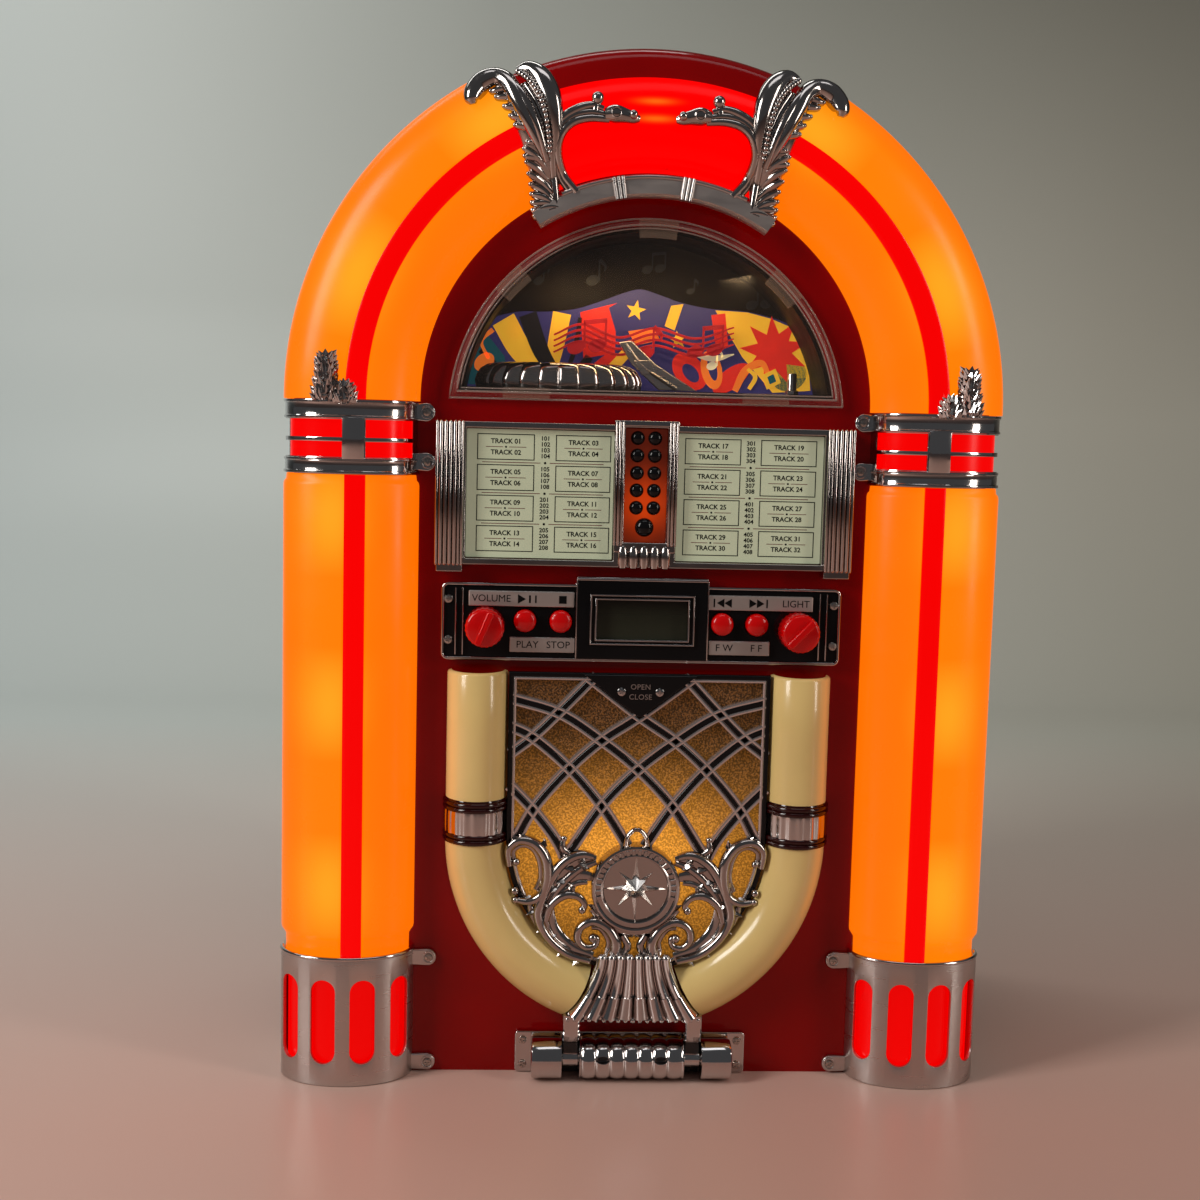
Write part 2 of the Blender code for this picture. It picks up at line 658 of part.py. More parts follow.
def bar_between(name, start, end):
    across = (end - start).normalized().orthogonal() * LATTICE_BAR / 2
    corners = [start + across, start - across, end - across, end + across]
    return slab(name, [(p.x, p.y) for p in corners], GRILLE_FRONT + 0.4, GRILLE_BACK - 0.2)


def build_door_grille(hinge):
    """The door's chrome casting: border, lattice, medallion, fluted foot and the two hinge lugs."""
    grille = slab("door_grille", door_outline(0), GRILLE_FRONT, GRILLE_BACK, "chrome_plating", hinge)
    combine(grille, "DIFFERENCE", [slab("grille_window", door_outline(3.0), -20, 5)])
    plate = [(-26, DOOR_TOP - 1), (26, DOOR_TOP - 1), (0, 177)]
    shapes = [*lattice_bars(), slab("grille_label_plate", plate, GRILLE_FRONT - 0.3, GRILLE_BACK - 0.1)]
    medallion = [(21.5, GRILLE_BACK - 0.3), (21.5, -14.0), (17.0, -15.5)]
    shapes.append(turned("grille_medallion", medallion, 0, 95.5))
    foot = [(-20, 63), (20, 63), (23, 53), (34, 31), (34, 24), (-34, 24), (-34, 31), (-23, 53)]
    shapes.append(slab("grille_foot", foot, -17.5, GRILLE_BACK + 0.3))
    centre_y = PANEL_Y + HINGE_DEPTH
    for side, word in ((1, "right"), (-1, "left")):
        span = (side * LUG_X - LUG_HALF, side * LUG_X + LUG_HALF)
        rings = []
        for x in span:
            ring = [(x, centre_y + 7 * math.cos(a), HINGE_Z + 7 * math.sin(a)) for a in lug_angles()]
            rings.append([*ring, (x, centre_y - 7, 27.0), (x, centre_y + 3.6, 27.0)])
        shapes.append(loft(f"grille_{word}_lug", rings))
    combine(grille, "UNION", shapes)
    bore = PIN_R + 0.4
    ends = ((-40, HINGE_DEPTH, HINGE_Z), (40, HINGE_DEPTH, HINGE_Z))
    combine(grille, "DIFFERENCE", [rod("grille_pin_bore", *ends, bore)])


def lug_angles(steps=12):
    """From the back of the lug under the pin and up its front."""
    return [math.radians(20 - 200 * i / steps) for i in range(steps + 1)]


def build_door_tube(side, word, hinge):
    """A cream half-round tube down one side of the door and in to its foot."""
    spine = [((DOOR_TUBE_X, DOOR_TOP), (1.0, 0.0))]
    steps = 10
    for i in range(steps + 1):
        a = math.radians(DOOR_TUBE_END_DEG * i / steps)
        point = (DOOR_TUBE_X * math.cos(a), DOOR_BEND_Z - DOOR_TUBE_DROP * math.sin(a))
        normal = Vector((math.cos(a) / DOOR_TUBE_X, -math.sin(a) / DOOR_TUBE_DROP)).normalized()
        spine.append((point, (normal.x, normal.y)))
    rings = []
    for (x, z), (nx, nz) in spine:
        ring = []
        for radius, proud, sweep in ((DOOR_TUBE_R, 16.5, 1), (DOOR_TUBE_R - 2, 14.5, -1)):
            for i in range(9):
                a = math.pi * i / 8
                offset = sweep * radius * math.cos(a)
                ring.append((side * (x + nx * offset), PANEL_Y - 1.6 - proud * math.sin(a), z + nz * offset))
        rings.append(ring)
    name = f"{word}_door_tube"
    tube = loft(name, rings, "cream_plastic", hinge)
    clear = [(19, 70), (24, 53.5), (35.5, 31), (35.5, 15), (0, 15), (0, 70)]
    combine(tube, "DIFFERENCE", [slab(f"{name}_foot_cut", mirrored(clear, side), -40, 10)])


def build_hinge():
    """The chrome hinge on the panel: a back plate, a ribbed barrel with two lug slots, and its pin."""
    bracket = block("hinge_bracket", (-56.4, 56.4), (-2.4, -GAP), (0.4, 20.8), "chrome_plating")
    ends = ((-48.5, HINGE_DEPTH, HINGE_Z), (48.5, HINGE_DEPTH, HINGE_Z))
    barrel = rod("hinge_barrel", *ends, BARREL_R, steps=20)
    combine(bracket, "UNION", [barrel])
    cuts = []
    for side, word in ((1, "right"), (-1, "left")):
        span = (side * LUG_X - LUG_HALF - 0.6, side * LUG_X + LUG_HALF + 0.6)
        cuts.append(block(f"hinge_{word}_slot", span, (-30, -2.6), (-5, 30)))
    ends = ((-45, HINGE_DEPTH, HINGE_Z), (45, HINGE_DEPTH, HINGE_Z))
    cuts.append(rod("hinge_bore", *ends, PIN_R + 0.4))
    combine(bracket, "DIFFERENCE", cuts)
    rod("hinge_pin", (-44.5, HINGE_DEPTH, HINGE_Z), (44.5, HINGE_DEPTH, HINGE_Z), PIN_R, "steel")


def build_door():
    hinge = (0, PANEL_Y + HINGE_DEPTH, HINGE_Z)
    build_door_grille(hinge)
    slab("door_mesh", door_outline(0.8), GRILLE_BACK + GAP, GRILLE_BACK + 1.2, "gold_mesh", hinge)
    for side, word in ((1, "right"), (-1, "left")):
        build_door_tube(side, word, hinge)
    build_hinge()
    block("latch_plunger", (-3.4, 3.4), (-3.8, 12.0), (190.6, 195.4), "steel")


# ---------------------------------------------------------------- inside


def build_deck():
    """The disc deck behind the door: a plate, a spindle motor, a hub and a pickup on its guide rod."""
    plate = block("cd_chassis", (-66, 66), (DECK_DEPTH, DECK_DEPTH + 2), (58, 196), "black_plastic")
    rails = []
    for z in (DISC_Z - 20, DISC_Z + 15):
        rails.append(block(f"rod_post_{z:.0f}", (61.5, 65.5), (DECK_DEPTH + 1, DECK_DEPTH + 14), (z, z + 5)))
    window = block("pickup_window", (17, 61), (5, 30), (DISC_Z - 12, DISC_Z + 12))
    bore = turned("spindle_hole", [(4.0, 5), (4.0, 30)], 0, DISC_Z, steps=16)
    combine(plate, "UNION", rails)
    combine(plate, "DIFFERENCE", [window, bore])
    motor = [(12.5, DECK_DEPTH + 2.4), (12.5, DECK_DEPTH + 14), (4.0, DECK_DEPTH + 16)]
    turned("spindle_motor", motor, 0, DISC_Z, "steel")
    hub = [(1.2, DECK_DEPTH + 1.9), (1.2, 14), (14.0, 14), (14.0, 11.5), (7.3, 11.0), (7.3, 9), (4.5, 5)]
    turned("disc_hub", hub, 0, DISC_Z, "black_plastic", 24, (0, PANEL_Y, DISC_Z))
    start = (16.5, DECK_DEPTH + 9, DISC_Z + 17.5)
    rod("guide_rod", start, (61.1, start[1], start[2]), 1.5, "steel")
    deep, high = (DECK_DEPTH + 5, DECK_DEPTH + 13), (DISC_Z - 10, DISC_Z + 21)
    centre = (27, PANEL_Y + DECK_DEPTH + 9, DISC_Z + 17.5)
    sled = block("pickup_sled", (20, 34), deep, high, "black_plastic", centre)
    eye = [(4.0, DECK_DEPTH + 6), (4.0, DECK_DEPTH - 1), (2.5, DECK_DEPTH - 2)]
    lens = turned("pickup_lens", eye, 27, DISC_Z)
    combine(sled, "UNION", [lens])
    rod_bore = rod("pickup_bore", (0, start[1], start[2]), (60, start[1], start[2]), 1.9)
    combine(sled, "DIFFERENCE", [rod_bore])


def build_electrics():
    for side, word in ((1, "right"), (-1, "left")):
        back = REAR_INNER - GAP
        profile = [(14, back - 26), (14, back - 14), (33, back - 6), (36, back - 5), (36, back), (30, back)]
        profile += [(12, back - 9), (7, back - 6)]
        turned(f"{word}_speaker", profile, side * SPEAKER_X, SPEAKER_Z, "black_plastic", 16)
    core = block("power_transformer", (-28, 22), (100, 132), (3.4, 44), "steel")
    combine(core, "UNION", [block("transformer_coil", (-17, 11), (92, 140), (10, 37))])
    board = block("main_board", (-75, 75), (60, 61.6), (60, 200), "circuit_board")
    chip = block("board_chip", (-20, 10), (57, 60.5), (120, 150))
    heat_sink = block("board_sink", (40, 66), (61, 78), (80, 110))
    combine(board, "UNION", [chip, heat_sink])
    inlet = (INLET_X - 13, INLET_X + 13)
    high = (INLET_Z - 9, INLET_Z + 9)
    block("power_inlet", inlet, (REAR_INNER - 16, REAR_OUTER), high, "black_plastic")
    for side, word in ((1, "right"), (-1, "left")):
        build_lamp_board(side, word)
    holder = block("door_lamp", (-12, 12), (26, 30), (62, 78), "circuit_board")
    combine(holder, "UNION", [turned("door_bulb", [(5, 27), (5, 23), (3, 20.5)], 0, 70, steps=12)])


def build_lamp_board(side, word, lamps=4):
    """The strip behind a column's lens that carries its lamps."""
    span = sorted((side * 128, side * 148))
    strip = block(f"{word}_lamp_board", span, (9.0, 10.6), (74, 282), "circuit_board")
    bulbs = []
    for i in range(lamps):
        z = 100.0 + 53.0 * i
        bulbs.append(turned(f"{word}_bulb_{i}", [(4, 9.5), (4, 0), (2.5, -3)], side * 138, z, steps=10))
    combine(strip, "UNION", bulbs)


def main():
    for obj in list(bpy.data.objects):
        bpy.data.objects.remove(obj, do_unlink=True)
    build_cabinet()
    for side, word in ((1, "right"), (-1, "left")):
        build_tubes(side, word)
        build_band(side, word)
        build_sleeve(side, word)
    build_top_lens()
    build_crest()
    build_dome()
    build_title_panel()
    build_controls()
    build_door()
    build_deck()
    build_electrics()


main()
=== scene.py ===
"""The looks of a tabletop jukebox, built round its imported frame.

Lengths are millimetres until a mesh is made, and depths are measured from the front face of the panel:
forward of it is negative. Pieces that repeat on both sides are built by one function with side = 1 or -1.
"""

import math
import random

import bmesh
import bpy
from mathutils import Matrix, Vector


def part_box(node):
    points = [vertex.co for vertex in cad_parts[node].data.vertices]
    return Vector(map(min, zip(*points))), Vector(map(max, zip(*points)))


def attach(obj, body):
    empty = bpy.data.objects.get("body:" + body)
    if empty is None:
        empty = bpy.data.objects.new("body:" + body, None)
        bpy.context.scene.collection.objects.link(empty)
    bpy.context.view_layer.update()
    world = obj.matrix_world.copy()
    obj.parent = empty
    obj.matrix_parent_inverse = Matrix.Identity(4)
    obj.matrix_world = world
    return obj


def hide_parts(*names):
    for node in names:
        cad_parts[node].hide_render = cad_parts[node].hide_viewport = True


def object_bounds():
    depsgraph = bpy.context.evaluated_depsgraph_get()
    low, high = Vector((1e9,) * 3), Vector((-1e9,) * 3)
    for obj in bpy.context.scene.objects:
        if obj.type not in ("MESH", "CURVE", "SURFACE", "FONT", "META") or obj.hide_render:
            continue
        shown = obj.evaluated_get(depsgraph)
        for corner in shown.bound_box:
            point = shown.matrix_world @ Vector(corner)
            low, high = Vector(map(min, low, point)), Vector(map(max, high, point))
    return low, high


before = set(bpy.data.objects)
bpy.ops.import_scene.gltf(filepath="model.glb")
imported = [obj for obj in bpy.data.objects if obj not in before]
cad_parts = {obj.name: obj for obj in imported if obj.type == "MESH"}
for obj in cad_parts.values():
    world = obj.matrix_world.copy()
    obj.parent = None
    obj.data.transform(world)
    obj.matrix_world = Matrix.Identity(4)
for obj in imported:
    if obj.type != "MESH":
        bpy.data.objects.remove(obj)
CAD_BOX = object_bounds()
MM = 0.001
SIDES = ((1, "right"), (-1, "left"))
SIGNS = (1, -1)
ROUND_STEPS = 8
INK_FILM = 0.06


def span(node):
    """The lowest and highest corners of a node of the frame."""
    low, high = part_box(node)
    return low / MM, high / MM


PANEL_Y = span("front_panel")[0].y
PANEL_BACK = span("front_panel")[1].y - PANEL_Y
HALF_WIDTH = CAD_BOX[1].x / MM
ARCH_Z = 325.0
TUBE_INNER = span("right_column_lens")[0].x
TUBE_CENTRE = (TUBE_INNER + HALF_WIDTH) / 2
TUBE_HALF = (HALF_WIDTH - TUBE_INNER) / 2
TUBE_PROUD = 20.0
CHROME_PROUD = 22.0
STRIPE_R = 134.8
STRIPE_HALF = 4.8
ARCH_END_DEG = 61.4
BAND_BOTTOM = span("right_band")[0].z
BAND_TOP = 324.6
SLEEVE_TOP = span("right_base_sleeve")[1].z
POST_SHIFT = 2.8
BAND_EARS = ((103.2, 320.0), (102.6, 296.8))
SLEEVE_EARS = ((99.0, 57.4), (99.0, 5.0))
CREST_DROP = 2.6
DOME_R = 93.8
DOME_Z = 318.9
DOME_SILL = span("dome_window")[0].z
CARD_INNER = span("right_title_card")[0].x
CARD_OUTER = span("right_title_card")[1].x
CARD_LOW = span("right_title_card")[0].z
CARD_HIGH = span("right_title_card")[1].z
TITLE_HALF = span("title_bezel")[1].x
KNOB_X = 74.3
KNOB_Z = 220.5
BUTTON_X = {"play_button": -55.5, "stop_button": -38.6, "previous_button": 38.2, "next_button": 54.8}
BUTTON_Z = 223.2
CONTROL_LOW = span("control_bezel")[0].z
CONTROL_HIGH = 240.8
CONTROL_HALF = span("control_bezel")[1].x
HINGE_Z = 10.4
HINGE_DEPTH = -10.0
DOOR_HALF = 62.5
DOOR_TOP = span("door_grille")[1].z
DOOR_BEND_Z = 118.0
DOOR_TUBE_X = 77.3
DOOR_TUBE_R = 14.6
DOOR_TUBE_DROP = 80.0
DOOR_BEND_DEG = 74.0
MEDALLION_Z = 95.6
SPEAKER_X = 92.0
SPEAKER_Z = 105.0
SPEAKER_R = 30.0
DISC_Z = 125.0


# ---------------------------------------------------------------- shapes


def at(x, depth, z):
    """A point from its place across, its depth from the panel's face and its height."""
    return Vector((x, PANEL_Y + depth, z))


def linked(name, data):
    """A new object of some data, linked to the scene."""
    obj = bpy.data.objects.new(name, data)
    bpy.context.scene.collection.objects.link(obj)
    return obj


def to_free(shape):
    """A bmesh turned into a free mesh, with its faces turned outwards."""
    mesh = bpy.data.meshes.new("shape")
    bmesh.ops.recalc_face_normals(shape, faces=shape.faces)
    shape.to_mesh(mesh)
    shape.free()
    return mesh


def around(steps):
    """The angles of a full turn in equal steps."""
    return [2 * math.pi * i / steps for i in range(steps)]


def pair(side, first, last):
    """Two places across, mirrored to their side and put in rising order."""
    return sorted((side * first, side * last))


def heading(line, i):
    """The direction of a line of points in the (x, z) plane, at its point i."""
    before, after = line[max(0, i - 1)], line[min(len(line) - 1, i + 1)]
    return Vector((after[0] - before[0], after[1] - before[1])).normalized()


def skin(rows, loop=False, open_rows=False, caps=True, bm=None):
    """Adds a surface through rows of points (mm) to bm, each row closed unless open_rows is set."""
    bm = bm or bmesh.new()
    rows = [[bm.verts.new(Vector(point) * MM) for point in row] for row in rows]
    pairs = list(zip(rows, rows[1:]))
    if loop:
        pairs.append((rows[-1], rows[0]))
    for lower, upper in pairs:
        count = len(lower)
        for i in range(count - 1 if open_rows else count):
            j = (i + 1) % count
            bm.faces.new((lower[i], lower[j], upper[j], upper[i]))
    if caps and not loop:
        bm.faces.new(rows[0][::-1])
        bm.faces.new(rows[-1])
    return bm


def piece(name, shape, material, body="cabinet", replaces=(), angle=40):
    """Makes an object of a bmesh or a mesh, and hangs it on its body."""
    mesh = to_free(shape) if isinstance(shape, bmesh.types.BMesh) else shape
    mesh.name = name
    obj = linked(name, mesh)
    mesh.materials.clear()
    mesh.materials.append(material)
    mesh.shade_smooth()
    mesh.set_sharp_from_angle(angle=math.radians(angle))
    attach(obj, body)
    if replaces:
        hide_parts(*replaces)
    return obj


def mesh_of(obj):
    """The object's evaluated mesh as a free mesh; the object is removed."""
    bpy.context.view_layer.update()
    graph = bpy.context.evaluated_depsgraph_get()
    mesh = bpy.data.meshes.new_from_object(obj.evaluated_get(graph))
    mesh.transform(obj.matrix_world)
    bpy.data.objects.remove(obj, do_unlink=True)
    return mesh


def carved(shape, cutters):
    """The bmesh with each cutter bmesh cut out of it, as a mesh."""
    target = linked("helper", to_free(shape))
    tools = [linked("helper", to_free(cutter)) for cutter in cutters]
    for tool in tools:
        modifier = target.modifiers.new("cut", "BOOLEAN")
        modifier.operation = "DIFFERENCE"
        modifier.solver = "MANIFOLD"
        modifier.object = tool
    mesh = mesh_of(target)
    for tool in tools:
        bpy.data.objects.remove(tool, do_unlink=True)
    return mesh


def rounded(mesh, width, angle):
    """The mesh with its hard edges bevelled by width (mm)."""
    obj = linked("helper", mesh)
    modifier = obj.modifiers.new("soft", "BEVEL")
    modifier.width = width * MM
    modifier.segments = 2
    modifier.limit_method = "ANGLE"
    modifier.angle_limit = math.radians(angle)
    return mesh_of(obj)


def to_bmesh(mesh):
    """A mesh opened as a bmesh."""
    bm = bmesh.new()
    bm.from_mesh(mesh)
    return bm


def arc(x, z, radius, start, end, steps):
    """Points on an arc round (x, z), from start to end degrees."""
    angles = [math.radians(start + (end - start) * i / steps) for i in range(steps + 1)]
    return [(x + radius * math.cos(a), z + radius * math.sin(a)) for a in angles]


def flip(points, side):
    """Points mirrored to their side."""
    return [(side * p[0], *p[1:]) for p in points]


def smooth_line(points, steps=8):
    """Points on a Catmull-Rom curve through the given points, of any number of values each."""
    ends = [
        [2 * a - b for a, b in zip(points[0], points[1])],
        [2 * a - b for a, b in zip(points[-1], points[-2])]
    ]
    knots = [ends[0], *points, ends[1]]
    line = []
    for p0, p1, p2, p3 in zip(knots, knots[1:], knots[2:], knots[3:]):
        for i in range(steps):
            t = i / steps
            line.append([
                0.5 * (
                    2 * b + (c - a) * t + (2 * a - 5 * b + 4 * c - d) * t**2
                    + (3 * b - a - 3 * c + d) * t**3
                )
                for a, b, c, d in zip(p0, p1, p2, p3)
            ])
    return [*line, list(points[-1])]


def plate(outlines, front, back, bevel=0.0, resolution=2):
    """A flat plate of (x, z) outlines, holes among them, as a mesh. Bevel rounds its edges."""
    curve = bpy.data.curves.new("plate", "CURVE")
    curve.dimensions = "2D"
    curve.fill_mode = "BOTH"
    for outline in outlines:
        spline = curve.splines.new("POLY")
        spline.points.add(len(outline) - 1)
        for knot, (x, z) in zip(spline.points, outline):
            knot.co = (x * MM, z * MM, 0, 1)
        spline.use_cyclic_u = True
    return curve_plate(curve, front, back, bevel, resolution)


def curve_plate(curve, front, back, bevel, resolution=2, bold=0.0):
    """A filled curve given its thickness, as a mesh that faces forward."""
    curve.extrude = max(0.0, (back - front) / 2 - bevel) * MM
    curve.bevel_depth = bevel * MM
    curve.offset = (bold - bevel) * MM
    curve.bevel_resolution = resolution
    mesh = mesh_of(linked("plate", curve))
    mesh.transform(
        Matrix.Translation(at(0, (front + back) / 2, 0) * MM) @ Matrix.Rotation(math.pi / 2, 4, "X")
    )
    return mesh


def stamp(bm, *plate_settings):
    """Adds a flat plate to bm."""
    bm.from_mesh(plate(*plate_settings))


def lettering(lines, size, front, back, spacing=1.0, bm=None, bold=0.0):
    """Flat text: lines are (text, x, z) of each line's centre. Bold thickens the strokes, in mm."""
    bm = bm or bmesh.new()
    for text, x, z in lines:
        font = bpy.data.curves.new("text", "FONT")
        font.body = text
        font.size = size * MM
        font.align_x = "CENTER"
        font.align_y = "CENTER"
        font.space_character = spacing
        font.resolution_u = 3
        mesh = curve_plate(font, front, back, 0.0, bold=bold)
        mesh.transform(Matrix.Translation(Vector((x, 0, z)) * MM))
        bm.from_mesh(mesh)
    return bm


def quad(x0, x1, z0, z1):
    """The outline of a rectangle."""
    return [(x0, z0), (x1, z0), (x1, z1), (x0, z1)]


def rounded_box(x0, x1, z0, z1, radius=1.0, steps=4):
    """The outline of a rectangle with round corners."""
    points = arc(x1 - radius, z1 - radius, radius, 0, 90, steps)
    points += arc(x0 + radius, z1 - radius, radius, 90, 180, steps)
    points += arc(x0 + radius, z0 + radius, radius, 180, 270, steps)
    points += arc(x1 - radius, z0 + radius, radius, 270, 360, steps)
    return points


def block(x, depth, z, bm=None):
    """A box between two places across, two depths and two heights."""
    return skin([[at(px, d, pz) for px, pz in quad(*x, *z)] for d in depth], bm=bm)


def turned(profile, x, z, steps=32, bm=None):
    """A body of revolution about the depth axis, through (radius, depth) points."""
    rows = []
    for radius, depth in profile:
        angles = around(steps)
        rows.append([at(x + radius * math.cos(a), depth, z + radius * math.sin(a)) for a in angles])
    return skin(rows, bm=bm)


def ball(bm, x, depth, z, radius, flatten=1.0, segments=12):
    """Adds a ball to bm, flattened along its depth."""
    size = Matrix.Diagonal((radius * MM, radius * flatten * MM, radius * MM, 1))
    place = Matrix.Translation(at(x, depth, z) * MM) @ size
    bmesh.ops.create_uvsphere(
        bm, u_segments=segments, v_segments=segments // 2 + 2, radius=1, matrix=place
    )


ROUND = [(math.cos(math.pi * i / 6), math.sin(math.pi * i / 6)) for i in range(7)]
RIDGE = [(1, 0), (0.72, 0.62), (0.12, 1), (-0.12, 1), (-0.72, 0.62), (-1, 0)]
RAILS = [
    (1, 0), (0.98, 0.55), (0.90, 0.93), (0.68, 1), (0.46, 0.93), (0.36, 0.6), (-0.36, 0.6),
    (-0.46, 0.93), (-0.68, 1), (-0.90, 0.93), (-0.98, 0.55), (-1, 0)
]
FLAT = [(1, 0), (0.94, 0.96), (0.8, 1), (-0.8, 1), (-0.94, 0.96), (-1, 0)]


def strand(bm, controls, depth, side=1, rise=1.0, section=ROUND, steps=7, sink=0.6):
    """A strand that stands forward along (x, z, width) points. Its depth is a number or a function."""
    line = smooth_line(controls, steps)
    rows = []
    for i, (x, z, width) in enumerate(line):
        run = heading(line, i)
        base = depth(x, z) if callable(depth) else depth
        row = []
        half = max(width, 0.15) / 2
        for across, lift in section:
            row.append(
                at(
                    side * (x - run.y * across * half), base - lift * half * rise,
                    z + run.x * across * half
                )
            )
        for across in (-1, 1):
            row.append(
                at(
                    side * (x - run.y * across * half * 0.9), base + sink,
                    z + run.x * across * half * 0.9
                )
            )
        rows.append(row)
    return skin(rows, bm=bm)


def barb(bm, start, direction, length, width, thick):
    """A sharp little leaf: a stretched eight-sided crystal from start along direction (3D, mm)."""
    run = Vector(direction).normalized()
    across = run.cross(Vector((0, -1, 0))).normalized() * width / 2
    out = across.cross(run).normalized() * thick / 2
    if out.y > 0:
        out = -out
    start = Vector(start)
    middle = start + run * length * 0.42
    tip = start + run * length
    ring = [middle + across, middle + out, middle - across, middle - out]
    corners = [bm.verts.new(p * MM) for p in ring]
    first = bm.verts.new(start * MM)
    last = bm.verts.new(tip * MM)
    for i in range(4):
        j = (i + 1) % 4
        bm.faces.new((first, corners[j], corners[i]))
        bm.faces.new((last, corners[i], corners[j]))


# ---------------------------------------------------------------- materials


class Shader:
    """A Principled material under construction, with short ways to add nodes to it."""

    def __init__(self, name, slot, colour, roughness, metallic=0.0, **inputs):
        self.material = bpy.data.materials.new(name)
        self.material["slot"] = slot
        self.material.use_nodes = True
        self.tree = self.material.node_tree
        self.shader = self.tree.nodes["Principled BSDF"]
        self.set("Base Color", (*colour, 1.0))
        self.set("Roughness", roughness)
        self.set("Metallic", metallic)
        for name, value in inputs.items():
            self.set(name.replace("_", " "), value)
        self.colour = colour
        self.roughness = roughness

    def set(self, name, value):
        """Sets one of the shader's own sockets."""
        self.shader.inputs[name].default_value = value

    def link(self, source, name):
        """Drives one of the shader's sockets from a node."""
        self.tree.links.new(source, self.shader.inputs[name])

    def node(self, kind, *inputs, **settings):
        """A node with its inputs in order: sockets to link, values to set, or None to leave."""
        made = self.tree.nodes.new("ShaderNode" + kind)
        for key, value in settings.items():
            setattr(made, key, value)
        for i, value in enumerate(inputs):
            if isinstance(value, bpy.types.NodeSocket):
                self.tree.links.new(value, made.inputs[i])
            elif value is not None:
                made.inputs[i].default_value = value
        return made

    def math(self, operation, *inputs, clamp=False):
        return self.node("Math", *inputs, operation=operation, use_clamp=clamp).outputs[0]

    def place(self):
        """X, Y and Z in the object's own space (metres)."""
        coordinates = self.node("TexCoord").outputs["Object"]
        return coordinates, self.node("SeparateXYZ", coordinates).outputs

    def noise(self, scale, detail=3.0, stretch=(1, 1, 1)):
        """Noise in the object's own space."""
        coordinates = self.place()[0]
        mapped = self.node("Mapping", coordinates, None, None, stretch).outputs[0]
        made = self.node("TexNoise", mapped)
        made.inputs["Scale"].default_value = scale
        made.inputs["Detail"].default_value = detail
        return made.outputs["Fac"]

    def mix(self, factor, first, second):
        """A colour between two, each a colour or a socket."""
        made = self.tree.nodes.new("ShaderNodeMix")
        made.data_type = "RGBA"
        for socket, value in ((0, factor), (6, first), (7, second)):
            if isinstance(value, bpy.types.NodeSocket):
                self.tree.links.new(value, made.inputs[socket])
            else:
                made.inputs[socket].default_value = value if socket == 0 else (*value[:3], 1.0)
        return made.outputs[2]

    def spread(self, value, low, high, out_low, out_high):
        """A value mapped from one range to another."""
        made = self.node("MapRange", value, low, high, out_low, out_high)
        return made.outputs[0]

    def vary_colour(self, scale, amount):
        """Clouds the base colour a little darker and lighter."""
        darker = tuple(c * (1 - amount) for c in self.colour)
        lighter = tuple(min(1.0, c * (1 + amount)) for c in self.colour)
        factor = self.spread(self.noise(scale, 4.0), 0.3, 0.7, 0.0, 1.0)
        self.link(self.mix(factor, darker, lighter), "Base Color")

    def vary_roughness(self, scale, amount, stretch=(1, 1, 1)):
        """Clouds the gloss."""
        low, high = max(0.02, self.roughness - amount), self.roughness + amount
        self.link(self.spread(self.noise(scale, 5.0, stretch), 0.3, 0.7, low, high), "Roughness")

    def square(self, value):
        return self.math("MULTIPLY", value, value)

    def scaled(self, value, centre, size):
        """How far a value is from its centre, in units of size."""
        return self.math("DIVIDE", self.math("SUBTRACT", value, centre), size)

    def bell(self, far, steep=1.0):
        """A soft spot: 1 where the squared distance is 0, and fading as it grows."""
        return self.math("POWER", 2.718, self.math("MULTIPLY", far, -steep))

    def bump(self, height, strength, distance):
        """Raises the surface by a height."""
        made = self.node("Bump")
        made.inputs["Strength"].default_value = strength
        made.inputs["Distance"].default_value = distance
        self.tree.links.new(height, made.inputs["Height"])
        self.link(made.outputs[0], "Normal")


def plastic(name, slot, colour, roughness, vary=0.06, grain=0.0, grain_scale=900.0, **inputs):
    """Moulded plastic: faint clouding of its colour, uneven gloss, and a fine grain where it is matt."""
    made = Shader(name, slot, colour, roughness, **inputs)
    made.vary_colour(22.0, vary)
    made.vary_roughness(60.0, roughness * 0.35)
    if grain:
        made.bump(made.noise(grain_scale, 2.0), grain, 0.0002)
    else:
        made.bump(made.noise(35.0, 2.0), 0.05, 0.0006)
    return made.material


def metal(name, slot, colour, roughness, smear=(1, 1, 1), scale=80.0, bump=0.04, cloud=0.4, pure=1.0):
    """Plated or bare metal with cloudy polish, and a slight ripple under the plating."""
    made = Shader(name, slot, colour, roughness, pure)
    made.vary_colour(30.0, 0.05)
    made.vary_roughness(scale, roughness * cloud, smear)
    made.bump(made.noise(55.0, 2.0), bump, 0.0006)
    return made.material


# The lamps behind the tubes: metres and radians, and the pitch as waves per metre or radian times 2 pi.
LAMP_RADIUS = 0.1455
LAMP_HEIGHT = 0.096
LAMP_PITCH = 72.0
ARCH_LAMP_ANGLE = 0.40
ARCH_LAMP_PITCH = 9.5


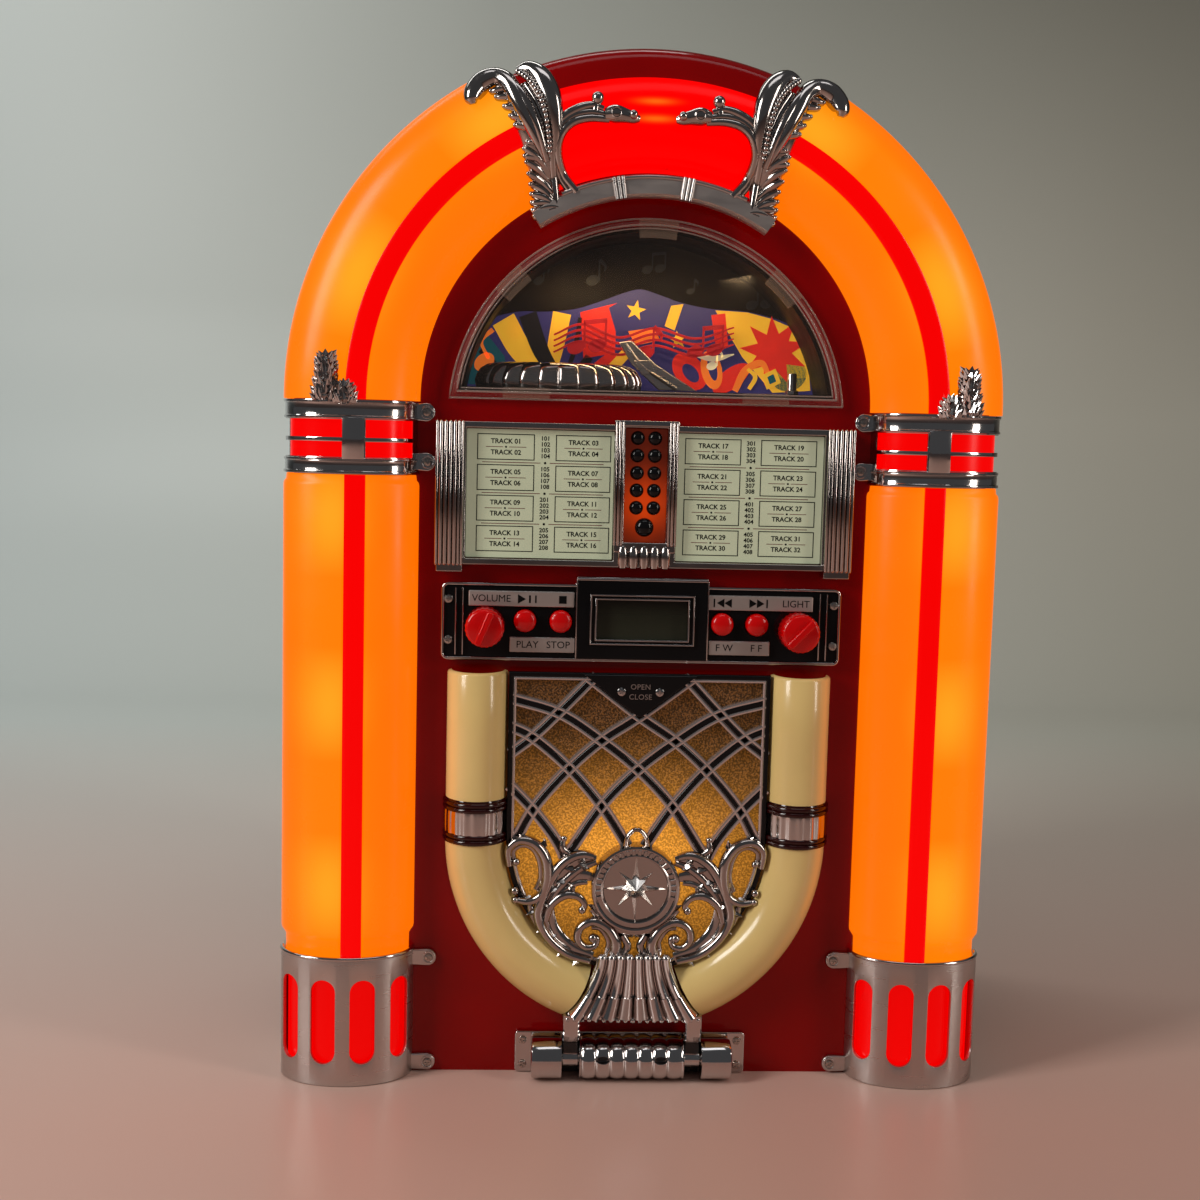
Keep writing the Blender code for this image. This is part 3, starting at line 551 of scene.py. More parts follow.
def glow_by_lamps(made, arch):
    """How near each spot is to a lamp behind the tube, and how near to its middle line, each 0 to 1."""
    _, (x, _, z) = made.place()
    across = made.math("ABSOLUTE", x)
    if arch:
        rise = made.math("SUBTRACT", z, ARCH_Z * MM)
        radius = made.math("SQRT", made.math("ADD", made.square(x), made.square(rise)))
        angle = made.math("ARCTAN2", rise, across)
        wave = made.math(
            "COSINE",
            made.math("MULTIPLY", made.math("SUBTRACT", angle, ARCH_LAMP_ANGLE), ARCH_LAMP_PITCH)
        )
    else:
        radius = across
        wave = made.math(
            "COSINE", made.math("MULTIPLY", made.math("SUBTRACT", z, LAMP_HEIGHT), LAMP_PITCH)
        )
    along = made.spread(wave, -0.4, 1.0, 0.0, 1.0)
    near = made.bell(made.square(made.scaled(radius, LAMP_RADIUS, 0.013)))
    return made.math("MULTIPLY", along, near, clamp=True), near


def lit_lens(name, slot, colour, hot, strength, arch, body_colour):
    """Milky plastic lit from behind: brighter and yellower by its lamps, with a glossy skin."""
    made = Shader(name, slot, body_colour, 0.26, Specular_IOR_Level=0.15)
    made.vary_roughness(50.0, 0.06)
    glow, near = glow_by_lamps(made, arch)
    cloud = made.spread(made.noise(9.0, 2.0), 0.3, 0.7, -0.08, 0.08)
    factor = made.math("ADD", glow, cloud, clamp=True)
    edge = tuple(c * k for c, k in zip(colour, (0.98, 0.80, 0.0)))
    made.link(
        made.mix(factor, made.mix(made.spread(near, 0.0, 0.45, 0.0, 1.0), edge, colour), hot),
        "Emission Color"
    )
    made.set("Emission Strength", strength)
    return made.material


def lit_red(name, slot, strength, low_z=None, high_z=None):
    """Red lens lit from behind, a little darker towards one end where heights are given."""
    made = Shader(name, slot, (0.10, 0.0, 0.0), 0.2, Specular_IOR_Level=0.15)
    made.vary_roughness(50.0, 0.05)
    factor = made.spread(made.noise(12.0, 2.0), 0.3, 0.7, 0.0, 0.35)
    if low_z is not None:
        _, (_, _, z) = made.place()
        factor = made.math("ADD", factor, made.spread(z, low_z, high_z, 0.0, 0.65), clamp=True)
    made.link(made.mix(factor, (0.86, 0.0, 0.0), (1.0, 0.0, 0.0)), "Emission Color")
    made.set("Emission Strength", strength)
    return made.material


def clear(name, tint, thin, edge):
    """Clear plastic: nearly unseen face on, and brighter where the surface turns away."""
    made = Shader(name, "clear_plastic", tint, 0.05)
    made.vary_roughness(60.0, 0.02)
    facing = made.node("LayerWeight", 0.32).outputs["Facing"]
    made.link(made.spread(facing, 0.0, 1.0, thin, edge), "Alpha")
    return made.material


MAROON = plastic(
    "maroon_gloss", "maroon_plastic", (0.25, 0.0003, 0.0004), 0.14, 0.10, Specular_IOR_Level=0.2,
    Coat_Weight=0.12
)
SHELL = plastic(
    "maroon_shell", "maroon_plastic", (0.085, 0.0008, 0.001), 0.16, 0.12, Specular_IOR_Level=0.35,
    Coat_Weight=0.15
)
BLACK = plastic("black_moulding", "black_plastic", (0.010, 0.010, 0.011), 0.30, 0.2, 0.15)
BLACK_GLOSS = plastic(
    "black_gloss", "black_plastic", (0.004, 0.004, 0.0045), 0.08, 0.2, Specular_IOR_Level=0.25
)
CHROME = metal("dark_chrome", "chrome_plating", (0.56, 0.53, 0.52), 0.09)
CHROME_DEEP = metal("cast_chrome", "chrome_plating", (0.44, 0.40, 0.38), 0.13, bump=0.10)
SATIN = metal("satin_chrome", "chrome_plating", (0.56, 0.52, 0.50), 0.30, (1, 1, 8), 60.0, cloud=0.12)
CAST = metal(
    "bright_casting", "chrome_plating", (0.68, 0.61, 0.59), 0.20, bump=0.06, cloud=0.2, pure=0.86
)
STAR = metal("star_chrome", "chrome_plating", (0.86, 0.83, 0.80), 0.16, bump=0.02, cloud=0.2)
BRUSHED = metal("brushed_bar", "chrome_plating", (0.60, 0.55, 0.52), 0.42, (1, 1, 6), 60.0, cloud=0.12)
STEEL = metal("screw_steel", "steel", (0.52, 0.47, 0.43), 0.26, scale=300.0)
RED = plastic(
    "red_gloss", "red_plastic", (0.62, 0.0008, 0.0012), 0.18, 0.06, Specular_IOR_Level=0.35,
    Coat_Weight=0.2
)
RING_DARK = plastic("dark_rings", "maroon_plastic", (0.022, 0.0012, 0.001), 0.10, 0.10)
CREAM = plastic(
    "cream_gloss", "cream_plastic", (0.79, 0.58, 0.225), 0.20, 0.05, Specular_IOR_Level=0.4,
    Coat_Weight=0.25
)
COLUMN_GLOW = lit_lens(
    "orange_column", "orange_lens", (1.0, 0.20, 0.0), (1.0, 0.36, 0.012), 1.0, False,
    (0.12, 0.03, 0.004)
)
ARCH_GLOW = lit_lens(
    "orange_arch", "orange_lens", (1.0, 0.21, 0.0), (1.0, 0.38, 0.012), 1.0, True, (0.12, 0.03, 0.004)
)
RED_GLOW = lit_red("red_lens_lit", "red_lens", 1.0)
INSERT_GLOW = lit_red("red_insert_lit", "red_lens", 0.85, 0.060, 0.010)
CLEAR = clear("clear_window", (0.5, 0.47, 0.45), 0.015, 0.30)
CLEAR_RIM = clear("clear_rim", (0.42, 0.33, 0.29), 0.4, 0.85)
CLEAR_CLIP = clear("clear_clip", (0.50, 0.36, 0.26), 0.16, 0.5)


# ---------------------------------------------------------------- stage


CAMERA_PLACE = (-57.28, -759.69, 310.38)
CAMERA_TURN = (-2.82, -5.81, -1.40)


def build_camera():
    """Where the front view is taken from, just left of the middle and a little above it."""
    camera = linked("camera", bpy.data.cameras.new("camera"))
    camera.data.sensor_width = 36.0
    camera.data.lens = 48.0
    yaw, pitch, roll = (math.radians(a) for a in CAMERA_TURN)
    turn = Matrix.Rotation(yaw, 3, "Z") @ Matrix.Rotation(pitch, 3, "X") @ Matrix.Rotation(roll, 3, "Y")
    axes = Matrix((turn.col[0], turn.col[2], -turn.col[1])).transposed()
    place = Matrix.Translation(at(*CAMERA_PLACE) * MM)
    camera.matrix_world = place @ axes.to_4x4()
    bpy.context.scene.camera = camera


def build_stage():
    """A pale floor, tinted warm near the front as painted glow from the tubes, that curves up into a grey
    backdrop darkened towards its top with painted shade.
    """
    wide, far, bend, top = 7000, 1500, 500, 2600
    line = [(-wide, 0), (-400, 0), (far - bend, 0)]
    for i in range(1, 33):
        a = math.radians(90 * i / 32)
        line.append((far - bend + bend * math.sin(a), bend - bend * math.cos(a)))
    line.append((far, top))
    bm = skin([[Vector((x, y, z)) for y, z in line] for x in (-wide, wide)], open_rows=True, caps=False)
    mesh = bpy.data.meshes.new("floor")
    bm.to_mesh(mesh)
    bm.free()
    mesh.shade_smooth()
    made = Shader("pale_backdrop", "steel", (0.60, 0.61, 0.59), 0.38, Specular_IOR_Level=0.35)
    _, (x, y, z) = made.place()
    back = made.spread(y, -0.15, 0.85, 0.0, 1.0)
    right = made.spread(x, -0.9, 0.8, 0.0, 1.0)
    wall = made.mix(right, (0.60, 0.645, 0.63), (0.56, 0.53, 0.45))
    # Painted shade: the backdrop darkens towards its top, less so at the far left.
    high = made.math(
        "MULTIPLY", made.spread(z, 0.35, 1.3, 0.0, 0.9), made.spread(x, -0.8, -0.1, 0.1, 1.0)
    )
    wall = made.mix(high, wall, (0.075, 0.08, 0.062))
    # Painted glow: the floor near the front is tinted warm pink, as if lit by the tubes.
    made.link(made.mix(back, (0.60, 0.375, 0.31), wall), "Base Color")
    made.bump(made.noise(420.0, 3.0), 0.04, 0.0003)
    mesh.materials.append(made.material)
    linked("floor", mesh)


def area_light(name, place, target, size, power, colour):
    """A soft rectangular light that faces its target."""
    light = bpy.data.lights.new(name, "AREA")
    light.shape = "RECTANGLE"
    light.size, light.size_y = size
    light.energy = power
    light.color = colour
    obj = linked(name, light)
    obj.location = place
    obj.rotation_euler = (Vector(target) - Vector(place)).to_track_quat("-Z", "Y").to_euler()


def build_light():
    """A dim world, four soft lights and the small lamp over the artwork."""
    world = bpy.data.worlds.new("room")
    bpy.context.scene.world = world
    world.use_nodes = True
    world.node_tree.nodes["Background"].inputs[0].default_value = (0.92, 0.95, 1.0, 1.0)
    world.node_tree.nodes["Background"].inputs[1].default_value = 0.075
    area_light("window", (-1.25, -0.75, 0.95), (0, 0, 0.2), (0.42, 0.9), 16.0, (1.0, 0.98, 0.94))
    area_light("fill", (1.3, -0.8, 0.7), (0, 0, 0.2), (0.22, 0.9), 6.5, (1.0, 0.92, 0.84))
    area_light("overhead", (0.1, -0.45, 1.7), (0, 0.1, 0), (1.0, 0.35), 1.8, (0.95, 0.97, 1.0))
    area_light("backdrop", (-0.5, 0.55, 1.5), (-0.3, 1.5, 0.4), (1.4, 0.5), 9.0, (0.96, 1.0, 0.98))
    area_light(
        "dome_lamp", (0.0, -0.062, 0.386), (0.01, -0.036, 0.34), (0.10, 0.006), 0.030, (1.0, 0.70, 0.36)
    )
    bpy.context.scene.view_settings.view_transform = "Standard"


# ---------------------------------------------------------------- cabinet


def arch_outline(half, bottom, steps=96):
    """The cabinet's outline: straight sides under a half circle."""
    return [(half, bottom), *arc(0, ARCH_Z, half, 0, 180, steps), (-half, bottom)]


def dome_outline(inset, steps=72):
    """The dome window: most of a circle, cut off at its sill."""
    radius = DOME_R - inset
    sill = DOME_SILL + inset
    start = math.degrees(math.asin((sill - DOME_Z) / radius))
    return arc(0, DOME_Z, radius, start, 180 - start, steps)


def prism(outline, front, back, bm=None):
    """An outline in the (x, z) plane, given its depth."""
    return skin([[at(x, d, z) for x, z in outline] for d in (front, back)], bm=bm)


def build_front_panel():
    """The moulded front with its round shoulder, cut for the windows, the door and the lamps."""
    half = span("front_panel")[1].x
    profile = [
        (13.0, 0.0), (9.0, 0.25), (5.5, 1.3), (2.9, 3.6), (1.2, 7.0), (0.3, 11.5), (0, 16),
        (0, PANEL_BACK), (2.5, PANEL_BACK), (2.5, 17.0), (12.0, 3.0)
    ]
    rows = []
    for inset, depth in profile:
        bottom = 2.5 if depth in (17.0, 3.0) or inset == 2.5 else 0.0
        rows.append([at(x, depth, z) for x, z in arch_outline(half - inset, bottom)])
    shape = skin(rows)
    cuts = [
        prism(dome_outline(4.0), -5, 8), block((-84.6, 84.6), (-5, 8), (254, 311)),
        block((-88, 88), (-5, 8), (209, 236))
    ]
    well = 61.5
    cuts.append(prism([(well, 186), (-well, 186), *arc(0, DISC_Z, well, 180, 360, 48)], -5, 8))
    cuts.append(block((-4, 4), (-5, 8), (190, 196)))
    for side in SIGNS:
        cuts.append(block(pair(side, 122, 152), (-5, 8), (72, 285)))
        lit = arc(0, ARCH_Z, 152, 6, 58, 20) + arc(0, ARCH_Z, 122, 58, 6, 20)
        cuts.append(prism(flip(lit, side), -5, 8))
    cuts.append(prism(arc(0, ARCH_Z, 141, 70, 110, 16) + arc(0, ARCH_Z, 116, 110, 70, 16), -5, 8))
    piece("moulded_front", carved(shape, cuts), MAROON, replaces=["front_panel"], angle=30)


def build_shell():
    """The body behind the front: a smooth wrap with a shallow seam and a rounded back edge."""
    low, high = span("cabinet_shell")
    back = high.y
    profile = [
        (0, low.y), (0, low.y + 0.6), (0, low.y + 40), (0.7, low.y + 40.8), (0.7, low.y + 42),
        (0, low.y + 42.8), (0, back - 9), (0.3, back - 5.5), (1.3, back - 2.5), (2.6, back - 0.8),
        (4.0, back)
    ]
    rows = [
        [Vector((x, y, z)) for x, z in arch_outline(HALF_WIDTH - inset, 0.0)] for inset, y in profile
    ]
    for inset, y in ((7.0, back), (3.0, back - 8), (3.0, low.y)):
        rows.append([Vector((x, y, z)) for x, z in arch_outline(HALF_WIDTH - inset, 3.0)])
    piece("body_wrap", skin(rows, loop=True), SHELL, replaces=["cabinet_shell"], angle=35)


# ---------------------------------------------------------------- lit tubes


def tube_depth(r, inset=0.0, proud=TUBE_PROUD):
    """How far the tube's front stands forward at a radius, as a depth."""
    across = (r - TUBE_CENTRE) / (TUBE_HALF - inset)
    return -(proud - inset) * math.sqrt(max(0.0, 1.0 - across * across))


def tube_curve(inset, steps=44, proud=TUBE_PROUD):
    """(r, depth) points over the front of a tube, from its inner edge to its outer side."""
    points = []
    for i in range(steps + 1):
        angle = math.pi * (1 - i / steps)
        depth = min(-(proud - inset) * math.sin(angle), -0.35)
        points.append((TUBE_CENTRE + (TUBE_HALF - inset) * math.cos(angle), depth))
    return points


def channel(outer, inner, back):
    """The closed section of a hollow tube that is open at its back."""
    return [*outer, (outer[-1][0], back), (inner[-1][0], back), *reversed(inner)]


def lens_section(pinch):
    """The lens with a groove for its stripe; pinch draws its front in all round."""
    outer = tube_curve(pinch)
    left, right = STRIPE_R - STRIPE_HALF - 0.4, STRIPE_R + STRIPE_HALF + 0.4
    groove = [
        (left - 1.4, tube_depth(left - 1.4, pinch)), (left - 0.5, tube_depth(left, pinch) + 0.05),
        (left, tube_depth(left, pinch) + 0.7), (left + 0.3, tube_depth(left, pinch + 1.5)),
        (STRIPE_R, tube_depth(STRIPE_R, pinch + 1.5)), (right - 0.3, tube_depth(right, pinch + 1.5)),
        (right, tube_depth(right, pinch) + 0.7), (right + 0.5, tube_depth(right, pinch) + 0.05),
        (right + 1.4, tube_depth(right + 1.4, pinch))
    ]
    before = sum(r < left - 2.0 for r, _ in tube_curve(0.0))
    after = sum(r <= right + 2.0 for r, _ in tube_curve(0.0))
    front = outer[:before] + groove + outer[after:]
    return channel(front, tube_curve(pinch + 2.2, 28), PANEL_BACK)


def stripe_section():
    """The section of a red stripe: a low crown over a sunk back."""
    rs = [STRIPE_R + STRIPE_HALF * i / 5 for i in range(-5, 6)]
    front = [(r, tube_depth(r) - 0.55 * (1 - ((r - STRIPE_R) / STRIPE_HALF) ** 6)) for r in rs]
    back = [(r, tube_depth(r, 1.2)) for r in reversed(rs)]
    return front + back


def standing(sections, side):
    """A body through (z, section) pairs."""
    return skin([[at(side * r, depth, z) for r, depth in section] for z, section in sections])


def arching(sections, side):
    """A body through (degrees, section) pairs, round the arch."""
    rows = []
    for degrees, section in sections:
        a = math.radians(degrees)
        rows.append(
            [at(side * r * math.cos(a), depth, ARCH_Z + r * math.sin(a)) for r, depth in section]
        )
    return skin(rows)


def build_tubes(side, word):
    """One side's column and arch: two orange lenses, each with its red stripe."""
    low, high = SLEEVE_TOP - 8.0, BAND_BOTTOM - 0.35
    steps = [
        (low, 2.4), (SLEEVE_TOP + 7.5, 2.2), (SLEEVE_TOP + 9.2, 1.2), (SLEEVE_TOP + 10.6, 0.25),
        (SLEEVE_TOP + 12, 0.0), (high - 5.0, 0.0), (high - 3.6, 0.3), (high - 2.6, 1.2), (high, 1.5)
    ]
    lens = standing([(z, lens_section(pinch)) for z, pinch in steps], side)
    piece(f"{word}_column_tube", lens, COLUMN_GLOW, replaces=[f"{word}_column_lens"], angle=50)
    stripe = standing([(z, stripe_section()) for z in (low + 4, SLEEVE_TOP + 20, high)], side)
    piece(f"{word}_column_strip", stripe, RED_GLOW, replaces=[f"{word}_column_stripe"], angle=50)

    count = 60
    end = ARCH_END_DEG + 1.5
    turns = [(end * i / count, lens_section(0.0)) for i in range(count + 1)]
    turns += [(end + 0.1, lens_section(2.6)), (end + 0.8, lens_section(2.8))]
    arch = arching(turns, side)
    piece(f"{word}_arch_tube", arch, ARCH_GLOW, replaces=[f"{word}_arch_lens"], angle=50)
    stripe = arching([(end * i / count, stripe_section()) for i in range(count + 1)], side)
    piece(f"{word}_arch_strip", stripe, RED_GLOW, replaces=[f"{word}_arch_stripe"], angle=50)


def build_top_lens():
    """The red lens under the crest, lit from below, inside the cabinet's shoulder, with two painted lamp
    reflections in its middle.
    """
    rs = [108 + 43.5 * i / 18 for i in range(19)]
    front = [(r, -0.6 - 7.4 * (1 - abs((r - 129.75) / 21.75) ** 2.6)) for r in rs]
    back = [(r, min(d + 1.8, -0.35)) for r, d in reversed(front[1:-1])]
    start = ARCH_END_DEG + 2.6
    count = 40
    turns = [(start + (180 - 2 * start) * i / count, front + back) for i in range(count + 1)]
    made = Shader("red_top_lens", "red_lens", (0.06, 0.0, 0.0), 0.16, Specular_IOR_Level=0.07)
    made.vary_roughness(50.0, 0.05)
    _, (x, _, z) = made.place()
    # Painted reflection: two orange spots near the middle stand for lamps reflected in the lens, mixed into
    # its glow.
    painted_reflections = []
    for height in (0.4565, 0.4645):
        dx = made.math("DIVIDE", x, 0.0075)
        dz = made.scaled(z, height, 0.0014)
        painted_reflections.append(made.bell(made.math("ADD", made.square(dx), made.square(dz))))
    factor = made.math("MULTIPLY", made.math("ADD", *painted_reflections), 0.55, clamp=True)
    made.link(made.mix(factor, (1.0, 0.0, 0.0), (1.0, 0.24, 0.01)), "Emission Color")
    made.set("Emission Strength", 1.0)
    piece("red_top_glass", arching(turns, 1), made.material, replaces=["top_lens"], angle=50)


# ---------------------------------------------------------------- screws


SCREW_TURN = 0.9


def screw_shape(radius=2.0, height=1.1):
    """A pan head with a cross in it, at the origin, facing forward."""
    rows = [
        (0.05, 0.0), (radius, 0.0), (radius, -height * 0.35), (radius * 0.86, -height * 0.8),
        (radius * 0.5, -height), (0.05, -height * 1.02)
    ]
    half = radius * 0.58
    arm = radius * 0.13
    cuts = [
        block((-half, half), (-height * 2, -height * 0.35), (-arm, arm)),
        block((-arm, arm), (-height * 2, -height * 0.35), (-half, half))
    ]
    return carved(turned(rows, 0, 0, 20), cuts)


def build_screws(name, places, body="cabinet", radius=2.0, material=None):
    """One piece of screw heads at (x, depth, z), each turned a little differently."""
    head = screw_shape(radius)
    bm = bmesh.new()
    for i, (x, depth, z) in enumerate(places):
        copy = head.copy()
        home = Matrix.Translation(at(0, 0, 0) * MM)
        turn = home @ Matrix.Rotation(i * SCREW_TURN, 4, "Y") @ home.inverted()
        copy.transform(Matrix.Translation(Vector((x, depth, z)) * MM) @ turn)
        bm.from_mesh(copy)
    return piece(name, bm, material or STEEL, body, angle=30)


# ---------------------------------------------------------------- chrome bands and sleeves


def ear_shape(bm, x, z, side, wide=4.3):
    """A rounded screw ear with a sunk ring, reaching in under the tube."""
    end = x + wide * 0.1
    outline = [
        (TUBE_INNER + 2.5, z + wide * 0.9), *arc(end, z, wide, 90, 270, 14),
        (TUBE_INNER + 2.5, z - wide * 0.9)
    ]
    stamp(bm, [flip(outline, side)], -2.4, -0.1, 0.5, 3)
    stamp(bm, [arc(side * x, z, 3.1, 0, 345, 23), arc(side * x, z, 2.35, 0, 345, 23)], -2.9, -2.0, 0.2)


def facet_section(proud, inset, back=PANEL_BACK):
    """A band's section: flats between corners that lie on the tube's curve."""
    offsets = (-1.0, -0.91, -0.77, -0.535, -0.27, -0.15, 0.15, 0.27, 0.535, 0.77, 0.91, 1.0)

    def curve(gap):
        half = TUBE_HALF - gap
        points = []
        for offset in offsets:
            depth = -(proud - gap) * math.sqrt(max(0.0, 1 - offset * offset))
            points.append((TUBE_CENTRE + half * offset, min(depth, -0.4)))
        return points

    return channel(curve(inset), curve(inset + 1.8), back)


def leaf_cluster(bm, side, x, z, width, height, depth, rows, seed):
    """A bushy chrome leaf: rows of sharp barbs that fan out from a spine and overlap like scales."""
    rng = random.Random(seed)
    for row in range(rows):
        t = row / (rows - 1)
        fill = width / 2 * (1.0 - 0.55 * t**1.8) * (0.86 + 0.14 * math.sin(9.0 * t))
        level = z - 1.0 + height * 0.80 * t
        count = 7 if t < 0.75 else 5
        for i in range(count):
            u = (i / (count - 1)) * 2 - 1
            u += rng.uniform(-0.08, 0.08)
            start = at(
                side * (x + u * fill * 0.62), depth - 1.0 - 2.4 * (1 - u * u),
                level + rng.uniform(-0.6, 0.6)
            )
            lean = Vector(
                (side * (u * 0.8 + rng.uniform(-0.12, 0.12)), -0.42 + rng.uniform(-0.15, 0.1), 0.9)
            )
            barb(bm, start, lean, 6.2 * (1 - 0.2 * t) + rng.uniform(-0.5, 0.5), 3.1, 2.8)
    strand(
        bm,
        [(x, z - 1, width * 0.8), (x, z + height * 0.45, width * 0.66), (x, z + height * 0.86, 3.0)],
        depth, side, 0.7
    )


def build_band(side, word):
    """A chrome band of flats with two rows of red windows, a post over its middle and a leaf on top."""
    zs = [
        (BAND_BOTTOM, 0.0), (BAND_BOTTOM + 1.2, 0.0), (BAND_BOTTOM + 1.5, 0.7), (296.6, 0.7),
        (297.0, 0.2), (297.9, 0.2), (298.2, 1.0), (316.0, 1.0), (316.3, 0.2), (317.2, 0.2),
        (317.6, 0.7), (BAND_TOP - 1.5, 0.7), (BAND_TOP - 1.2, 0.0), (BAND_TOP, 0.0)
    ]
    shape = standing([(z, facet_section(CHROME_PROUD, inset)) for z, inset in zs], side)
    cuts = []
    for low, high in ((298.5, 305.6), (307.5, 315.7)):
        cuts.append(block(pair(side, 109.4, 130.0), (-40, -2.2), (low, high)))
        cuts.append(block(pair(side, 140.4, 176.0), (-40, 12.0), (low, high)))
    mesh = rounded(carved(shape, cuts), 0.32, 25)
    bm = to_bmesh(mesh)
    for x, z in BAND_EARS:
        ear_shape(bm, x, z, side)
    leaf_cluster(bm, side, 148.0, 324.6, 12.4, 24.0, -19.0, 11, 4)
    leaf_cluster(bm, side, 139.5, 323.6, 9.0, 9.5, -20.0, 5, 7)
    piece(f"{word}_chrome_band", bm, CHROME, replaces=[f"{word}_band"], angle=32)

    post = []
    for z, gap in ((297.6, 0.5), (298.2, 0.1), (316.0, 0.1), (316.6, 0.5)):
        section = []
        for i in range(9):
            u = i / 4 - 1
            r = TUBE_CENTRE - POST_SHIFT + 5.0 * u
            section.append((r, tube_depth(r, 0, CHROME_PROUD) - 0.9 + gap + 0.5 * u**4))
        section += [(r, d + 2.4) for r, d in reversed(section)]
        post.append((z, section))
    piece(f"{word}_band_post", standing(post, side), CHROME, angle=40)

    insert = channel(tube_curve(3.2, 40, CHROME_PROUD), tube_curve(4.6, 40, CHROME_PROUD), 14.0)
    lit = standing([(z, insert) for z in (BAND_BOTTOM + 1.5, BAND_TOP - 1.5)], side)
    piece(f"{word}_band_glow", lit, RED_GLOW, replaces=[f"{word}_band_insert"], angle=50)


def build_sleeve(side, word):
    """The satin sleeve at a column's foot: four tall round-ended slots with red light behind them."""
    outer = tube_curve(0, 72, CHROME_PROUD)
    inner = tube_curve(1.8, 60, CHROME_PROUD)
    zs = [(0.0, 0.5), (0.5, 0.0), (SLEEVE_TOP - 0.5, 0.0), (SLEEVE_TOP, 0.5)]
    sections = []
    for z, inset in zs:
        sections.append(
            (z, channel(tube_curve(inset, 72, CHROME_PROUD) if inset else outer, inner, PANEL_BACK))
        )
    shape = standing(sections, side)
    cuts = []
    for offset, half in ((-26.3, 5.3), (-9.4, 6.0), (9.4, 6.0), (26.3, 6.0)):
        depth = tube_depth(TUBE_CENTRE + offset, 0, CHROME_PROUD)
        normal = Vector((offset / TUBE_HALF**2, depth / CHROME_PROUD**2)).normalized()
        outline = arc(0, 46.0, half, 0, 180, 16) + arc(0, 17.0, half, 180, 360, 16)
        rows = []
        for reach in (-4.5, 6.0):
            row = []
            for u, z in outline:
                r = TUBE_CENTRE + offset + normal.x * reach - normal.y * u
                row.append(at(side * r, depth + normal.y * reach + normal.x * u, z))
            rows.append(row)
        cuts.append(skin(rows))
    mesh = rounded(carved(shape, cuts), 0.35, 40)
    bm = to_bmesh(mesh)
    for x, z in SLEEVE_EARS:
        ear_shape(bm, x, z, side, 4.0)
    piece(f"{word}_slotted_sleeve", bm, SATIN, replaces=[f"{word}_base_sleeve"], angle=40)

    lip = []
    for i in range(61):
        angle = math.pi * (1 - i / 60)
        r = TUBE_CENTRE + (TUBE_HALF - 0.4) * math.cos(angle)
        depth = -(CHROME_PROUD - 0.4) * math.sin(angle)
        out = Vector((math.cos(angle) / TUBE_HALF, -math.sin(angle) / CHROME_PROUD)).normalized()
        ring = []
        for a in around(ROUND_STEPS):
            reach = math.cos(a)
            ring.append(
                at(side * (r + out.x * reach), depth + out.y * reach, SLEEVE_TOP + 0.2 + math.sin(a))
            )
        lip.append(ring)
    piece(f"{word}_sleeve_lip", skin(lip), CHROME, angle=60)

    insert = channel(tube_curve(3.4, 48, CHROME_PROUD), tube_curve(4.8, 48, CHROME_PROUD), 16.0)
    lit = standing([(z, insert) for z in (3.0, SLEEVE_TOP - 8.8)], side)
    piece(f"{word}_sleeve_glow", lit, INSERT_GLOW, replaces=[f"{word}_base_insert"], angle=50)


# ---------------------------------------------------------------- crest


def crest_depth(lift):
    """Depth of a strand that hugs the arch, lift in front of it."""

    def depth(x, z):
        r = min(math.hypot(x, z - ARCH_Z), HALF_WIDTH)
        return min(tube_depth(r), -12.0) - lift

    return depth


def build_crest():
    """An arched bar that carries two plumes, each with a curled top, a beaded edge and a bird-like head."""
    bm = bmesh.new()
    for side in SIGNS:
        build_plume(bm, side)
    piece("crest_plumes", bm, CHROME_DEEP, angle=50)

    section = [
        (96.0, -15.2), (96.7, -16.0), (102.9, -16.0), (103.6, -15.2), (104.3, -14.0), (104.3, -8.6),
        (95.4, -8.6), (95.4, -14.0)
    ]
    count = 48
    turns = [(57.2 + (180 - 2 * 57.2) * i / count, section) for i in range(count + 1)]
    piece("crest_bar", arching(turns, 1), BRUSHED, replaces=["crest"], angle=20)

    clasps = bmesh.new()
    for x in (-16.2, 15.0):
        tilt = math.degrees(math.acos(x / 100.0))
        for k in (-1, 0, 1):
            a = math.radians(tilt + 1.15 * k)
            line = [
                (c.x, c.y, 1.9)
                for c in (
                    Vector((r * math.cos(a), ARCH_Z + r * math.sin(a))) for r in (95.0, 99.8, 105.0)
                )
            ]
            strand(clasps, line, -15.6, rise=1.6)
    edge = [
        (104.1 * math.cos(math.radians(a)), ARCH_Z + 104.1 * math.sin(math.radians(a)), 2.4)
        for a in range(66, 115, 4)
    ]
    strand(clasps, edge, -14.8, rise=1.3)
    piece("crest_clasps", clasps, SATIN, angle=50)


def stout(line, scale):
    """The same strand, thicker."""
    return [(x, z, width * scale) for x, z, width in line]


def hug(bm, line, *options):
    """A strand of the crest, lowered onto its bar."""
    strand(bm, [(x, z - CREST_DROP, width) for x, z, width in line], *options)


